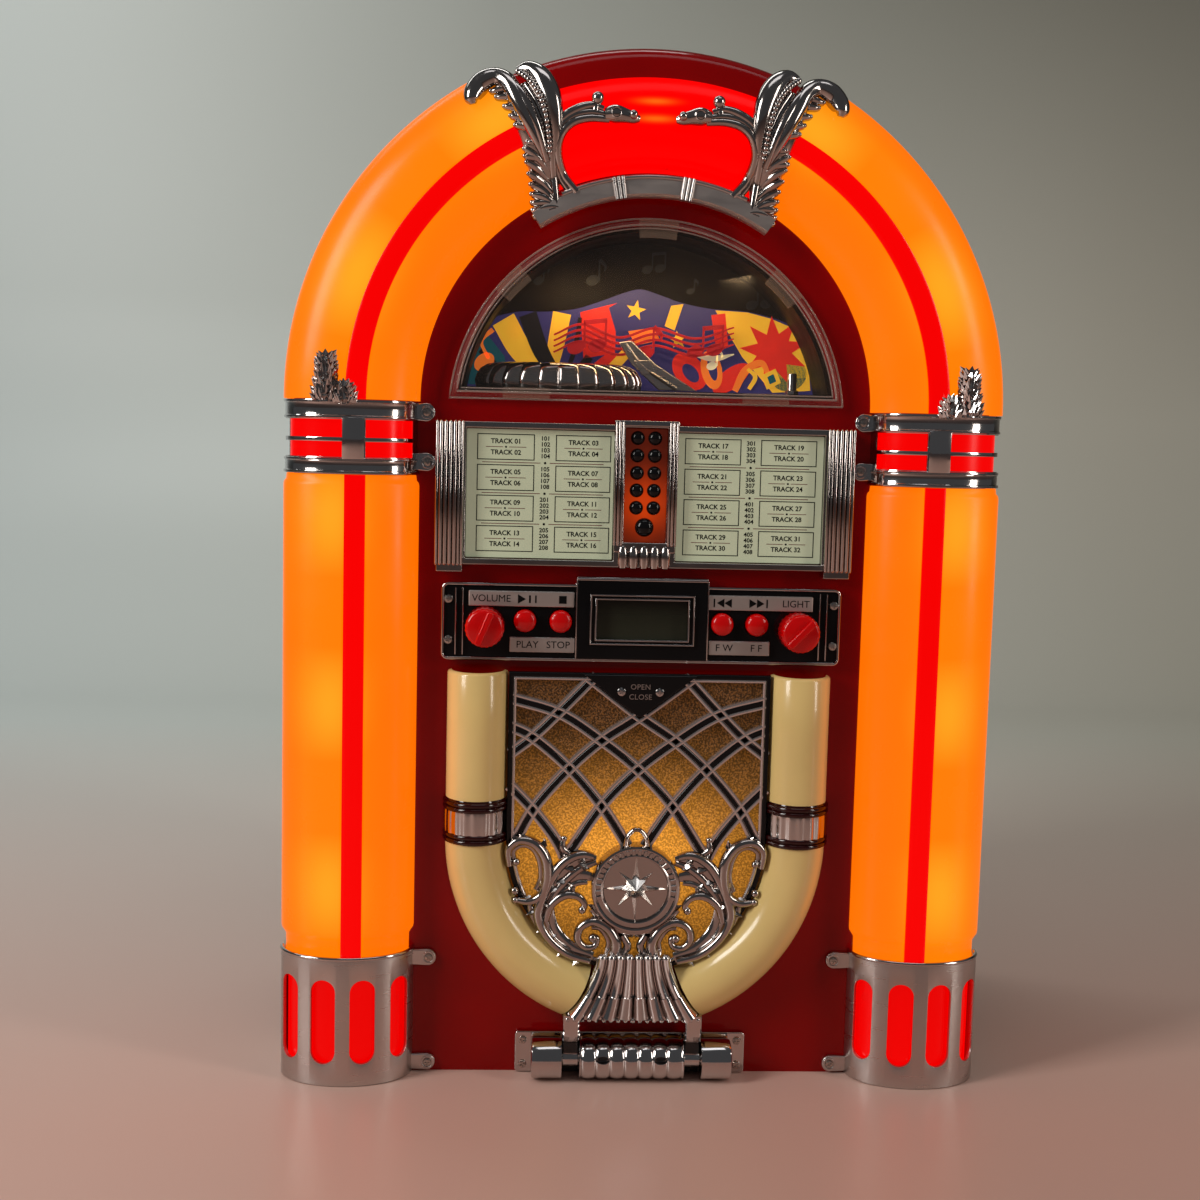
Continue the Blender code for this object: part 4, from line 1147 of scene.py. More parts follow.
def build_plume(bm, side):
    """One plume: a hooked outer quill, a taller inner one with its beads, feathers and a neck."""
    low = crest_depth(1.5)
    mid = crest_depth(2.6)
    high = crest_depth(3.8)
    curl = [
        (-50, 437, 3), (-57, 450, 5), (-63, 462, 6.5), (-68, 470.6, 7.5), (-73.6, 473.4, 8),
        (-79.2, 471.4, 8.8), (-82.6, 467.4, 8.4), (-84, 463.4, 6.6), (-83.4, 460.6, 2.6)
    ]
    hug(bm, stout(curl, 1.15), mid, -side, 1.1)
    inner = [(-49.5, 436, 2.5), (-54, 450, 3.4), (-59.5, 461.4, 4), (-65.2, 469.2, 4), (-71.6, 472, 3)]
    hug(bm, stout(inner, 1.2), high, -side, 1.1)
    back = [
        (-46.5, 438, 3), (-46.2, 452, 6), (-48.5, 464, 8.5), (-53, 472.5, 9), (-58.6, 476.8, 7.5),
        (-64, 476.2, 4)
    ]
    hug(bm, stout(back, 1.15), mid, -side, 1.0)
    bead_line = smooth_line(
        [(-63.5, 475.5), (-58.5, 471.6), (-54.2, 465.6), (-51.2, 457.6), (-49.4, 448.6), (-48.4, 440)],
        4
    )
    for i, (x, z) in enumerate(bead_line):
        ball(bm, side * x, high(x, z - CREST_DROP) - 2.0, z - CREST_DROP, 1.55 - 0.025 * i, 0.9, 10)
    build_feathers(bm, side)
    build_neck(bm, side, low, mid)


def build_feathers(bm, side):
    """Barbs down the outer edge of a plume, and the fan of quills over the bar's corner."""
    low = crest_depth(1.2)
    quills = [
        ((-47, 436), (-57.6, 447.5)), ((-47, 431), (-60.2, 441.5)), ((-46.5, 426.5), (-59, 435.8)),
        ((-46, 422.5), (-58, 431)), ((-45.5, 419), (-57, 426.8)), ((-44, 416.5), (-56.6, 422.6)),
        ((-40.5, 415.6), (-56.2, 418.8)), ((-38.0, 415.8), (-55.8, 415.4)),
        ((-36.5, 417.0), (-54.9, 412.6)), ((-46, 441), (-58.8, 444.4)), ((-46.4, 434), (-59.8, 438.4)),
        ((-51, 446), (-64.4, 451.6)), ((-52.5, 450), (-66.6, 455.6)), ((-54, 455), (-69.4, 459.8)),
        ((-58, 461), (-73.2, 464.2)), ((-62, 466), (-75.6, 467.0))
    ]
    for i, (root, tip) in enumerate(quills):
        bow = 1.5
        middle = ((root[0] + tip[0]) / 2, (root[1] + tip[1]) / 2 + bow)
        line = [(*root, 2.4), (*middle, 4.6), (tip[0] + 1.0, tip[1] - 0.2, 3.4), (*tip, 1.4)]
        hug(bm, line, crest_depth(1.4 + 0.25 * (i % 2)), -side, 1.15, RIDGE, 5)
        ball(
            bm, side * tip[0], low(tip[0], tip[1] - CREST_DROP) - 1.0, tip[1] - CREST_DROP, 1.1, 1.0, 8
        )
    web = [
        (-47.5, 414.6, 5), (-48.8, 422, 10), (-50.5, 432, 14), (-53.5, 445, 15), (-58.5, 459, 16),
        (-64, 469, 13)
    ]
    hug(bm, web, crest_depth(0.6), -side, 0.4)
    spine = [
        (-44.6, 418, 2.4), (-45.6, 424, 3.4), (-46.8, 433, 3.8), (-48.4, 446, 3.6), (-53.5, 460, 3.2),
        (-60, 470, 2.6)
    ]
    hug(bm, spine, crest_depth(2.8), -side, 1.0)


def build_neck(bm, side, low, mid):
    """The S-shaped neck of three strands, ending in a rounded head with an eye, under a knob."""
    inner = [
        (-35.6, 424, 3), (-41.6, 431, 3.2), (-44.8, 440, 3.4), (-43.6, 448, 3.4), (-38.6, 453.4, 3.2),
        (-31, 455.6, 3), (-22, 455.4, 2.6)
    ]
    hug(bm, stout(inner, 1.25), mid, -side, 1.2)
    middle = [
        (-38, 423, 2.4), (-43.6, 431, 3), (-46.8, 441, 3.4), (-45, 450, 3.4), (-39, 456, 3.2),
        (-31, 458.3, 3), (-23, 457.6, 2.4)
    ]
    hug(bm, stout(middle, 1.25), low, -side, 1.2)
    outer = [
        (-46.6, 447, 2), (-43.2, 455, 3.4), (-36.4, 459.6, 3.6), (-29.6, 461.4, 3), (-24.6, 460, 2.2)
    ]
    hug(bm, stout(outer, 1.2), low, -side, 1.2)
    hug(bm, [(-28.4, 459, 3.4), (-28.0, 462, 3.4), (-27.4, 464, 3.0)], low, -side, 1.2)
    ball(bm, -side * 27.4, low(-27.4, 462) - 1.2, 464.4 - CREST_DROP, 2.9, 1.0, 14)
    head = [
        (-24, 457.4, 5), (-19.4, 457.9, 7.4), (-14.4, 457.2, 5.8), (-10.6, 456.4, 4.6), (-8.2, 456, 2.4)
    ]
    hug(bm, stout(head, 1.12), mid, -side, 1.0)
    ball(bm, -side * 11.2, mid(-11, 454) - 2.6, 457.4 - CREST_DROP, 2.1, 1.0, 12)
    eye = mid(-19, 455.4) - 3.2
    skin_of_eye = [
        (2.7, eye + 1.2), (2.7, eye - 0.5), (2.2, eye - 0.9), (1.8, eye - 0.5), (1.6, eye + 0.2),
        (0.9, eye - 0.5)
    ]
    turned([*skin_of_eye, (0.05, eye - 0.7)], -side * 18.9, 457.9 - CREST_DROP, 20, bm)


# ---------------------------------------------------------------- dome


def printed(name, colour, glow=0.22, slot="printed_card"):
    """Ink on card with a faint painted glow in its own colour, brightening it in the dark dome."""
    made = Shader(name, slot, colour, 0.45)
    made.vary_colour(70.0, 0.12)
    made.bump(made.noise(700.0, 2.0), 0.08, 0.0002)
    # Painted light: the ink glows faintly in its own colour.
    made.set("Emission Color", (*colour, 1.0))
    made.set("Emission Strength", glow)
    return made.material


def ribbon_outline(controls, steps=8):
    """The outline of a flat ribbon along (x, z, width) points."""
    line = smooth_line(controls, steps)
    left, right = [], []
    for i, (x, z, width) in enumerate(line):
        run = heading(line, i)
        left.append((x - run.y * width / 2, z + run.x * width / 2))
        right.append((x + run.y * width / 2, z - run.x * width / 2))
    return left + right[::-1]


def star_outline(x, z, outer, inner, points=5, turn=90.0):
    """A star round (x, z), with one tip at turn degrees."""
    outline = []
    for i in range(2 * points):
        a = math.radians(turn + 180 * i / points)
        r = outer if i % 2 == 0 else inner
        outline.append((x + r * math.cos(a), z + r * math.sin(a)))
    return outline


def oval(x, z, wide, high, turn=0.0, steps=24):
    """An ellipse round (x, z), turned by some degrees."""
    points = []
    for a in around(steps):
        u, v = wide * math.cos(a), high * math.sin(a)
        t = math.radians(turn)
        points.append((x + u * math.cos(t) - v * math.sin(t), z + u * math.sin(t) + v * math.cos(t)))
    return points


def note_outlines(x, z, size, beam=False):
    """A music note of simple shapes: an oval head, a stem, and a flag or a beam to a second note."""
    shapes = [oval(x, z, 0.34 * size, 0.25 * size, 20)]
    stem = x + 0.28 * size
    shapes.append(quad(stem, stem + 0.09 * size, z, z + size))
    if beam:
        shapes += [oval(x + 0.8 * size, z + 0.1 * size, 0.34 * size, 0.25 * size, 20)]
        far = stem + 0.8 * size
        shapes.append(quad(far, far + 0.09 * size, z + 0.1 * size, z + 1.1 * size))
        shapes.append(
            [
                (stem, z + 0.86 * size), (far + 0.09 * size, z + 0.96 * size),
                (far + 0.09 * size, z + 1.14 * size), (stem, z + 1.04 * size)
            ]
        )
    else:
        flag = [
            (stem + 0.04 * size, z + size, 0.2 * size),
            (stem + 0.34 * size, z + 0.72 * size, 0.14 * size),
            (stem + 0.3 * size, z + 0.45 * size, 0.03 * size)
        ]
        shapes.append(ribbon_outline(flag, 5))
    return shapes


POSTER_DEPTH = 42.0
INK_STEP = 0.12


def layer(name, outlines, level, material):
    """Flat shapes of one ink on the artwork, each level a hair in front of the last."""
    bm = bmesh.new()
    for outline in outlines:
        front = POSTER_DEPTH - INK_STEP * level
        stamp(bm, [outline], front - 0.1, front)
    return piece(name, bm, material, angle=20)


def build_artwork():
    """A bold poster of stripes, stars, bursts and notes behind the glass."""
    floor = span("artwork_card")[0].z
    navy = printed("ink_navy", (0.035, 0.030, 0.16))
    yellow = printed("ink_yellow", (0.95, 0.50, 0.03), 0.35)
    orange = printed("ink_orange", (0.95, 0.20, 0.02), 0.35)
    scarlet = printed("ink_scarlet", (0.72, 0.02, 0.01), 0.35)
    teal = printed("ink_teal", (0.0, 0.10, 0.13))
    black = printed("ink_black", (0.008, 0.006, 0.012), 0.0)
    cream = printed("ink_cream", (0.95, 0.80, 0.50), 0.3)
    top = [
        (-85.5, 352), (-80, 361), (-75.7, 367), (-62, 371), (-48.5, 371.4), (-34, 373), (-21.3, 377.1),
        (-10, 381.5), (-1.5, 383.6), (7, 381.5), (18.6, 377.7), (34, 375), (51.2, 374.2), (63.9, 371.6),
        (72, 369), (79.2, 365), (85, 353)
    ]
    wave = [(p[0], p[1]) for p in smooth_line(top, 4)]
    card = plate([[(-86.3, floor), *wave, (86.3, floor)]], POSTER_DEPTH, POSTER_DEPTH + 0.8)
    piece("poster", card, navy, replaces=["artwork_card"])

    stripes = [
        ribbon_outline([(-69, 367, 12), (-58, 350, 11), (-38, 336, 7)]),
        ribbon_outline([(-40, 371, 9), (-43, 354, 8), (-46, 338, 5)]),
        [(36, 374.4), (52, 373.8), (64, 371), (77, 366), (83, 354), (85, 336), (66, 334.5), (50, 352)],
        ribbon_outline([(-8, 352, 5), (-16, 343, 6), (-20, 334.5, 7)]),
        [(14, 376), (20, 377), (16, 364), (11, 366)]
    ]
    layer("poster_yellow", stripes, 1, yellow)
    darks = [
        ribbon_outline([(-57, 370, 9), (-50, 352, 8), (-41, 339, 5)]),
        ribbon_outline([(-31, 369, 2), (-33, 355, 2.4), (-37, 342, 2)]),
        ribbon_outline([(-26, 350, 4), (-31, 342, 5), (-34, 335, 5)]),
        ribbon_outline([(-80, 352, 3), (-73, 345, 3), (-70, 336, 3)])
    ]
    layer("poster_black", darks, 2, black)
    layer(
        "poster_teal",
        [[(-85.8, 335), (-84.6, 350), (-78, 361), (-68, 349), (-66, 334.5)], oval(74, 343, 9, 7.4, 20)],
        1, teal
    )
    reds = [
        [(-31, 371.6), (-13, 376.6), (-13.4, 352), (-29, 349)], star_outline(66, 355, 17.5, 9.0, 9, 96),
        [(34, 372), (41, 373), (43, 357), (37, 355)],
        ribbon_outline([(-14, 352, 4), (-23, 343, 6), (-27, 334.6, 6)]), oval(24, 344, 10.5, 7.2, -48),
        oval(45, 341, 11, 5, 38)
    ]
    layer("poster_red", reds, 2, scarlet)
    warm = [
        oval(35, 345, 5.2, 9.8, 14),
        ribbon_outline([(47, 334.8, 3), (52, 345, 4), (60, 349, 3), (64, 342, 2)]),
        [(-9, 366), (3, 369), (9, 359), (-3, 356)], oval(-78, 346, 5.5, 4.0, 40),
        ribbon_outline([(-76, 348, 1.6), (-79.5, 356, 1.6), (-74, 362, 2.4)])
    ]
    layer("poster_orange", warm, 3, orange)
    holes = [
        oval(35.4, 346, 2.2, 6.4, 14), [(-17, 374.2), (-1.5, 383), (13, 379.6), (11, 366), (-13, 362)],
        oval(24.6, 343.2, 5.4, 3.2, -48)
    ]
    layer("poster_night", holes, 4, navy)
    stars = [
        star_outline(-3.6, 373.2, 5.2, 2.1, 5, 80), star_outline(17.6, 359.4, 4.6, 1.9, 5, 98),
        star_outline(-63, 362, 3.6, 1.5, 8, 10), [(60, 343), (67, 346.5), (70, 339.5), (63, 336)],
        ribbon_outline([(54, 336, 2), (57, 342, 2.2), (53, 346, 1.6)])
    ]
    layer("poster_stars", stars, 5, yellow)
    layer("poster_eye", [[(63, 342.2), (66, 343.8), (67.6, 340.2), (64.4, 338.6)]], 6, teal)
    layer(
        "poster_note",
        note_outlines(35, 347, 8.0) + [ribbon_outline([(26, 352, 1), (36, 350.6, 3), (46, 353, 0.6)])],
        6, cream
    )

    ribbon = []
    for k in range(4):
        ribbon.append(
            ribbon_outline(
                [
                    (-44, 351.5 + 2.8 * k, 0.9), (-30, 357 + 2.8 * k, 1.3), (-12, 351 + 2.8 * k, 1.3),
                    (6, 356 + 2.8 * k, 1.3), (26, 351.5 + 2.8 * k, 1.3), (45, 357.5 + 2.8 * k, 0.8)
                ]
            )
        )
    ribbon += note_outlines(-33, 354, 13, True)
    ribbon += note_outlines(1, 352, 13)
    ribbon += note_outlines(26, 353.5, 12, True)
    bm = bmesh.new()
    for outline in ribbon:
        stamp(bm, [outline], 36.2, 36.8, 0.15)
    piece("stave", bm, printed("ink_crimson", (0.42, 0.006, 0.012), 0.25, "red_plastic"), angle=30)


def upright(profile, x, depth, steps=24, bm=None):
    """A body of revolution about a vertical axis, through (radius, z) points."""
    rows = []
    for radius, z in profile:
        angles = around(steps)
        rows.append([at(x + radius * math.cos(a), depth + radius * math.sin(a), z) for a in angles])
    return skin(rows, bm=bm)


def build_changer():
    """The fluted half drum, the pickup arm and the little post in front of the poster."""
    floor = span("changer_ring")[0].z
    flutes, steps = 24, 240
    rows = []
    for height, scale, deep in (
        (0, 0.97, 0.05), (1.0, 1.0, 0.06), (6, 1.02, 0.07), (9, 1.0, 0.07), (12.4, 0.95, 0.06),
        (14.6, 0.87, 0.04), (15.6, 0.76, 0.02), (15.8, 0.5, 0.0)
    ):
        row = []
        for i in range(steps + 1):
            a = math.pi + math.pi * i / steps
            swell = scale * (1 - deep + deep * abs(math.sin(flutes * (a - math.pi) / 2)) ** 0.6)
            row.append(
                at(
                    -41.4 + 40.2 * swell * math.cos(a), 28 + 20 * swell * math.sin(a),
                    floor - 2.2 + 0.9 * height
                )
            )
        rows.append(row)
    piece("fluted_drum", skin(rows), CHROME_DEEP, replaces=["changer_ring"], angle=50)

    arm = bmesh.new()
    stamp(
        arm,
        [
            [
                (-12.0, 356.8), (-6.0, 357.8), (6.4, 346.5), (27.0, floor + 0.4), (8.0, floor + 0.4),
                (-5.4, 346)
            ]
        ],
        31.0, 33.4, 0.5
    )
    stamp(arm, [[(-4.5, 348.0), (3.2, 348.6), (6.2, 342.4), (-0.6, 341.0)]], 30.2, 31.2, 0.3)
    strand(arm, [(-8.6, 356, 1.4), (0.6, 345, 1.8), (17.0, floor + 1, 2.4)], 31.0)
    piece("pickup_arm", arm, SATIN, replaces=["tonearm"], angle=30)
    post = upright(
        [(2.4, floor), (2.4, floor + 9.6), (2.0, floor + 10.2), (0.2, floor + 10.3)], 73.6, 30
    )
    upright([(3.4, floor), (3.4, floor + 1.6), (2.2, floor + 2.2)], 73.6, 30, bm=post)
    piece("little_post", post, CHROME, angle=40)


def build_dome():
    """The dome window's glass, its bright rims and clips, its lining and what stands inside."""
    glass_rows = [
        (5.4, -4.3), (4.8, -4.9), (3.6, -5.1), (3.1, -4.2), (2.2, -3.5), (1.2, -3.3), (0.4, -2.4),
        (0, -0.4), (1.6, -0.4), (2.4, -2.0), (4.0, -2.8), (5.6, -3.0)
    ]
    rows = [[at(x, d, z) for x, z in dome_outline(inset)] for inset, d in glass_rows]
    piece("dome_glass", skin(rows), CLEAR, replaces=["dome_window"], angle=30)

    rim = bmesh.new()
    for inset, depth, radius in ((0.7, -2.6, 0.45), (3.7, -4.8, 0.5), (5.3, -4.5, 0.3)):
        line = dome_outline(inset)
        line = line + line[:1]
        rows = []
        for i, (x, z) in enumerate(line):
            run = heading(line, i)
            ring = [(radius * math.cos(a), radius * math.sin(a)) for a in around(ROUND_STEPS)]
            rows.append([at(x - run.y * u, depth - v, z + run.x * u) for u, v in ring])
        skin(rows, bm=rim)
    piece("dome_rim", rim, CLEAR_RIM, angle=60)

    clips = bmesh.new()
    for degrees, half in ((88, 9.5), (45, 9.0), (136, 8.0)):
        a = math.radians(degrees)
        wide = math.degrees(half / DOME_R)
        inner = arc(0, DOME_Z, DOME_R - 9.5, degrees + wide, degrees - wide, 8)
        stamp(
            clips, [arc(0, DOME_Z, DOME_R - 1.0, degrees - wide, degrees + wide, 8) + inner], -4.0,
            -3.0, 0.3
        )
    for x in (-57, 56):
        stamp(
            clips, [rounded_box(x - 11, x + 11, DOME_SILL + 0.8, DOME_SILL + 6.0, 0.8)], -4.0, -3.0, 0.3
        )
    piece("dome_clips", clips, CLEAR_CLIP, angle=30)

    back = span("dome_housing")[1].y - PANEL_Y
    tub = [(4.6, back), (4.6, 3.35), (6.2, 3.35), (6.2, back - 1.6)]
    rows = [[at(x, d, z) for x, z in dome_outline(inset)] for inset, d in tub]
    dark = Shader("dome_lining", "black_plastic", (0.011, 0.006, 0.002), 0.55, Specular_IOR_Level=0.15)
    dark.vary_colour(30.0, 0.35)
    dark.vary_roughness(60.0, 0.1)
    dark.bump(dark.noise(240.0, 4.0), 0.25, 0.0006)
    piece("dome_lining", skin(rows), dark.material, replaces=["dome_housing"], angle=30)
    faint = bmesh.new()
    for x, z, size, beam in (
        (-52, 387, 8, False), (-25, 388, 10, False), (55, 378, 9, True), (24, 384, 6, False),
        (2, 394, 8, True)
    ):
        for outline in note_outlines(x, z, size, beam):
            stamp(faint, [outline], back - 1.9, back - 1.7)
    piece("faint_notes", faint, printed("ink_faint", (0.002, 0.001, 0.002), 0.0))
    build_artwork()
    build_changer()


# ---------------------------------------------------------------- title panel


def rib(bm, x, radius, low, high, depth, rise=1.0, steps=10):
    """A vertical half-round rib with rounded ends."""
    rows = []
    for z, scale in (
        (low, 0.5), (low + radius * 0.5, 0.88), (low + radius, 1.0), (high - radius, 1.0),
        (high - radius * 0.5, 0.88), (high, 0.5)
    ):
        row = []
        for i in range(steps + 1):
            a = math.pi * i / steps
            row.append(
                at(x + radius * scale * math.cos(a), depth - radius * rise * scale * math.sin(a), z)
            )
        rows.append(row)
    skin(rows, bm=bm)


def box_ring(x0, x1, z0, z1, wide):
    """The two outlines of a rectangular frame."""
    return [quad(x0, x1, z0, z1), quad(x0 + wide, x1 - wide, z0 + wide, z1 - wide)]


def build_title_frame():
    """The chrome frame of the title cards: ribbed sides, a fluted middle post and a row of pegs."""
    low, high = span("title_bezel")[0].z, span("title_bezel")[1].z
    bm = bmesh.new()
    outer = rounded_box(-86.5, 86.5, low + 3.4, high - 0.2, 0.6)
    holes = [
        rounded_box(*pair(s, CARD_INNER - 0.5, CARD_OUTER + 0.2), CARD_LOW - 0.4, CARD_HIGH + 0.4, 0.4)
        for s in SIGNS
    ]
    holes.append(rounded_box(-10.0, 10.0, 261.2, high - 1.4, 0.4))
    stamp(bm, [outer, *holes], -8.2, -0.4, 0.5, 3)
    for side in SIGNS:
        block(pair(side, 85.2, TITLE_HALF), (-9.4, -0.4), (low + 3.6, high - 0.6), bm)
        edge = 85.3
        for wide in (1.5, 1.5, 2.1, 2.1, 2.1, 2.1, 1.5):
            rib(bm, side * (edge + wide / 2), wide * 0.52, low + 3.0, high + 0.1, -9.6, 1.5)
            edge += wide + 0.06
        stamp(bm, [rounded_box(*pair(side, 85.4, 97.8), low, low + 4.4, 0.5)], -9.6, -0.4, 0.5)
        for x, radius in ((11.1, 0.75), (12.7, 0.9), (14.3, 0.7)):
            rib(bm, side * x, radius, 259.5, high + 1.6, -8.4, 1.6)
    stamp(bm, [rounded_box(-15.2, 15.2, high - 0.8, high + 1.9, 0.5)], -9.4, -0.4, 0.5)
    stamp(bm, [rounded_box(-14.6, 14.6, 256.5, 261.4, 0.6)], -9.2, -0.4, 0.6)
    for k in range(-2, 3):
        upright(
            [
                (0.4, 248.6), (1.9, 249.2), (2.5, 251.0), (2.6, 256.6), (2.2, 258.8), (1.2, 260.2),
                (0.3, 260.6)
            ],
            5.05 * k, -7.6, 20, bm
        )
    piece("title_frame", bm, CHROME_DEEP, replaces=["title_bezel"], angle=32)


def build_cards():
    """Two strips of selection cards: ruled boxes, track numbers and generic track names."""
    paper = Shader("card_stock", "printed_card", (0.50, 0.545, 0.375), 0.5)
    paper.vary_colour(45.0, 0.05)
    paper.vary_roughness(200.0, 0.08)
    paper.bump(paper.noise(1500.0, 2.0), 0.1, 0.0001)
    paper.set("Emission Color", (0.50, 0.56, 0.40, 1.0))
    paper.set("Emission Strength", 0.17)
    ink = Shader("card_ink", "black_plastic", (0.004, 0.004, 0.004), 0.6, Specular_IOR_Level=0.1)
    ink.vary_roughness(400.0, 0.1)
    rule = Shader("card_rule", "red_plastic", (0.14, 0.035, 0.03), 0.6)
    rule.vary_roughness(400.0, 0.1)
    front = span("right_title_card")[0].y - PANEL_Y
    film = (front - INK_FILM, front)
    track = 0
    for side, word, start, columns, numbers in (
        (-1, "left", 100, ((-79.4, -52.5), (-42.6, -16.6)), -47.5),
        (1, "right", 300, ((18.3, 44.9), (54.3, 80.9)), 49.6)
    ):
        card = plate(
            [rounded_box(*pair(side, CARD_INNER, CARD_OUTER), CARD_LOW, CARD_HIGH, 0.5)], front,
            front + 1.2, 0.2
        )
        piece(f"{word}_card", card, paper.material, replaces=[f"{word}_title_card"])
        black, brown = bmesh.new(), bmesh.new()
        lines = []
        for row in range(4):
            top = 310.9 - 14.35 * row
            for x0, x1 in columns:
                stamp(black, box_ring(x0, x1, top - 12.2, top, 0.42), *film)
                middle = (x0 + x1) / 2
                for k in (0, 1):
                    track += 1
                    lines.append((f"TRACK {track:02d}", middle, top - 3.5 - 5.2 * k))
                for a, b in ((x0 + 4.0, middle - 1.4), (middle + 1.4, x1 - 4.0)):
                    stamp(brown, [quad(a, b, top - 6.25, top - 5.95)], *film)
                stamp(black, [oval(middle, top - 6.1, 0.5, 0.5, 0, 8)], *film)
            for k in range(4):
                number = start + 100 * (row // 2) + 4 * (row % 2) + k + 1
                lines.append((str(number), numbers, top - 1.9 - 2.75 * k))
            if row < 3:
                level = top - 13.3
                for a, b in (
                    (columns[0][0] + 2.4, numbers - 2.2), (numbers + 2.2, columns[1][1] - 3.4)
                ):
                    stamp(brown, [quad(a, b, level - 0.2, level + 0.15)], *film)
                stamp(black, [oval(numbers, level, 0.6, 0.6, 0, 8)], *film)
        lettering([line for line in lines if line[0].startswith("T")], 3.15, *film, 1.0, black, 0.07)
        lettering(
            [line for line in lines if not line[0].startswith("T")], 2.85, *film, 1.04, black, 0.07
        )
        piece(f"{word}_card_print", black, ink.material, angle=20)
        piece(f"{word}_card_rules", brown, rule.material, angle=20)


def build_selector():
    """Glossy black domes on a strip that glows at its middle."""
    glow = Shader("selector_glow", "orange_lens", (0.04, 0.006, 0.003), 0.25)
    glow.vary_roughness(60.0, 0.06)
    _, (x, _, z) = glow.place()
    rise = glow.bell(glow.square(glow.scaled(z, 0.279, 0.013)))
    side = glow.spread(glow.math("ABSOLUTE", x), 0.0, 0.010, 1.0, 0.55)
    factor = glow.math("MULTIPLY", glow.math("ADD", rise, 0.12), side, clamp=True)
    glow.link(glow.mix(factor, (0.012, 0.0015, 0.001), (0.52, 0.038, 0.001)), "Emission Color")
    glow.set("Emission Strength", 1.0)
    low, high = span("selector_panel")
    face = plate([rounded_box(low.x, high.x, low.z, high.z, 0.6)], -4.2, -2.0, 0.4)
    piece("selector_face", face, glow.material, replaces=["selector_panel"], angle=30)
    domes = bmesh.new()
    keys = [(x, 310.4 - 8.2 * row, 3.35) for row in range(5) for x in (-4.1, 4.1)]
    for x, z, radius in [*keys, (0.0, 268.4, 4.5)]:
        profile = [(radius, -3.6), (radius, -5.0)]
        profile += [
            (radius * math.cos(math.radians(a)), -5.0 - radius * 0.8 * math.sin(math.radians(a)))
            for a in (15, 30, 45, 60, 75, 88)
        ]
        turned(profile, x, z, 24, domes)
    piece("selector_domes", domes, BLACK_GLOSS, replaces=["selector_keypad"], angle=60)


# ---------------------------------------------------------------- control strip


def control_outline(inset):
    """The strip's outline: round-cornered ends and a raised middle."""
    low, high, half = CONTROL_LOW + inset, CONTROL_HIGH - inset, CONTROL_HALF - inset
    middle, top = 31.4 - inset, CONTROL_HIGH + 3.8 - inset
    corner = max(0.6, 3.2 - inset)
    points = arc(half - corner, high - corner, corner, 0, 90, 5)
    points += [(middle + 0.6, high), (middle, high + 0.6), (middle, top - 0.6), (middle - 0.6, top)]
    points += [(-middle + 0.6, top), (-middle, top - 0.6), (-middle, high + 0.6), (-middle - 0.6, high)]
    points += arc(-half + corner, high - corner, corner, 90, 180, 5)
    points += arc(-half + corner, low + corner, corner, 180, 270, 5)
    points += arc(half - corner, low + corner, corner, 270, 360, 5)
    return points


def build_control_face():
    """The control strip's black face and chrome rims, and the display in its middle."""
    rim = bmesh.new()
    stamp(rim, [control_outline(0), control_outline(1.3)], -6.9, -0.4, 0.55, 3)
    stamp(rim, box_ring(-24.8, 24.8, 212.6, 236.6, 0.75), -9.9, -8.4, 0.25)
    stamp(rim, box_ring(-22.4, 22.4, 214.4, 234.8, 0.8), -9.6, -7.0, 0.25)
    for side in SIGNS:
        for x in (84.6, 88.0):
            stamp(
                rim,
                [rounded_box(*pair(side, x, x + 0.55), CONTROL_LOW + 2.4, CONTROL_HIGH - 2.4, 0.2)],
                -7.0, -5.4, 0.2
            )
        stamp(
            rim, [rounded_box(*pair(side, 30.9, 31.5), CONTROL_LOW + 1.8, CONTROL_HIGH + 2.6, 0.2)],
            -8.8, -5.4, 0.2
        )
    stamp(rim, [rounded_box(-31.2, 31.2, CONTROL_HIGH + 2.2, CONTROL_HIGH + 3.4, 0.4)], -9.2, -5.4, 0.4)
    stamp(
        rim,
        [rounded_box(-CONTROL_HALF + 3, CONTROL_HALF - 3, CONTROL_LOW + 1.0, CONTROL_LOW + 1.6, 0.2)],
        -7.4, -5.4, 0.2
    )
    piece("control_rim", rim, CHROME, angle=32)
    holes = [oval(x, BUTTON_Z, 5.75, 5.75) for x in BUTTON_X.values()]
    holes += [oval(s * KNOB_X, KNOB_Z, 4.2, 4.2) for s in SIGNS]
    holes.append(rounded_box(-23.2, 23.2, 213.6, 235.6, 0.3))
    piece(
        "control_face", plate([control_outline(1.0), *holes], -5.8, -0.5, 0.2), BLACK_GLOSS,
        replaces=["control_bezel"], angle=30
    )
    middle = plate(
        [
            rounded_box(-31.0, 31.0, CONTROL_LOW + 1.6, CONTROL_HIGH + 3.2, 0.8),
            rounded_box(-22.0, 22.0, 214.8, 234.4, 0.3)
        ],
        -8.6, -5.7, 0.5
    )
    piece("display_surround", middle, BLACK_GLOSS, angle=30)
    glass = Shader("display_glass", "display_glass", (0.024, 0.026, 0.016), 0.12)
    _, (_, _, z) = glass.place()
    glass.link(
        glass.mix(
            glass.spread(z, 0.214, 0.236, 0.0, 1.0), (0.026, 0.028, 0.017), (0.008, 0.0085, 0.005)
        ),
        "Base Color"
    )
    glass.vary_roughness(90.0, 0.04)
    screen = plate([rounded_box(-22.6, 22.6, 214.2, 235.0, 0.3)], -5.2, 5.0, 0.2)
    piece("display_screen", screen, glass.material, replaces=["display_module"], angle=30)


def triangle(x, z, size, way=1):
    """A triangle that points right, or left where way is -1."""
    return [
        (x - way * size * 0.5, z - size * 0.62), (x + way * size * 0.55, z),
        (x - way * size * 0.5, z + size * 0.62)
    ]


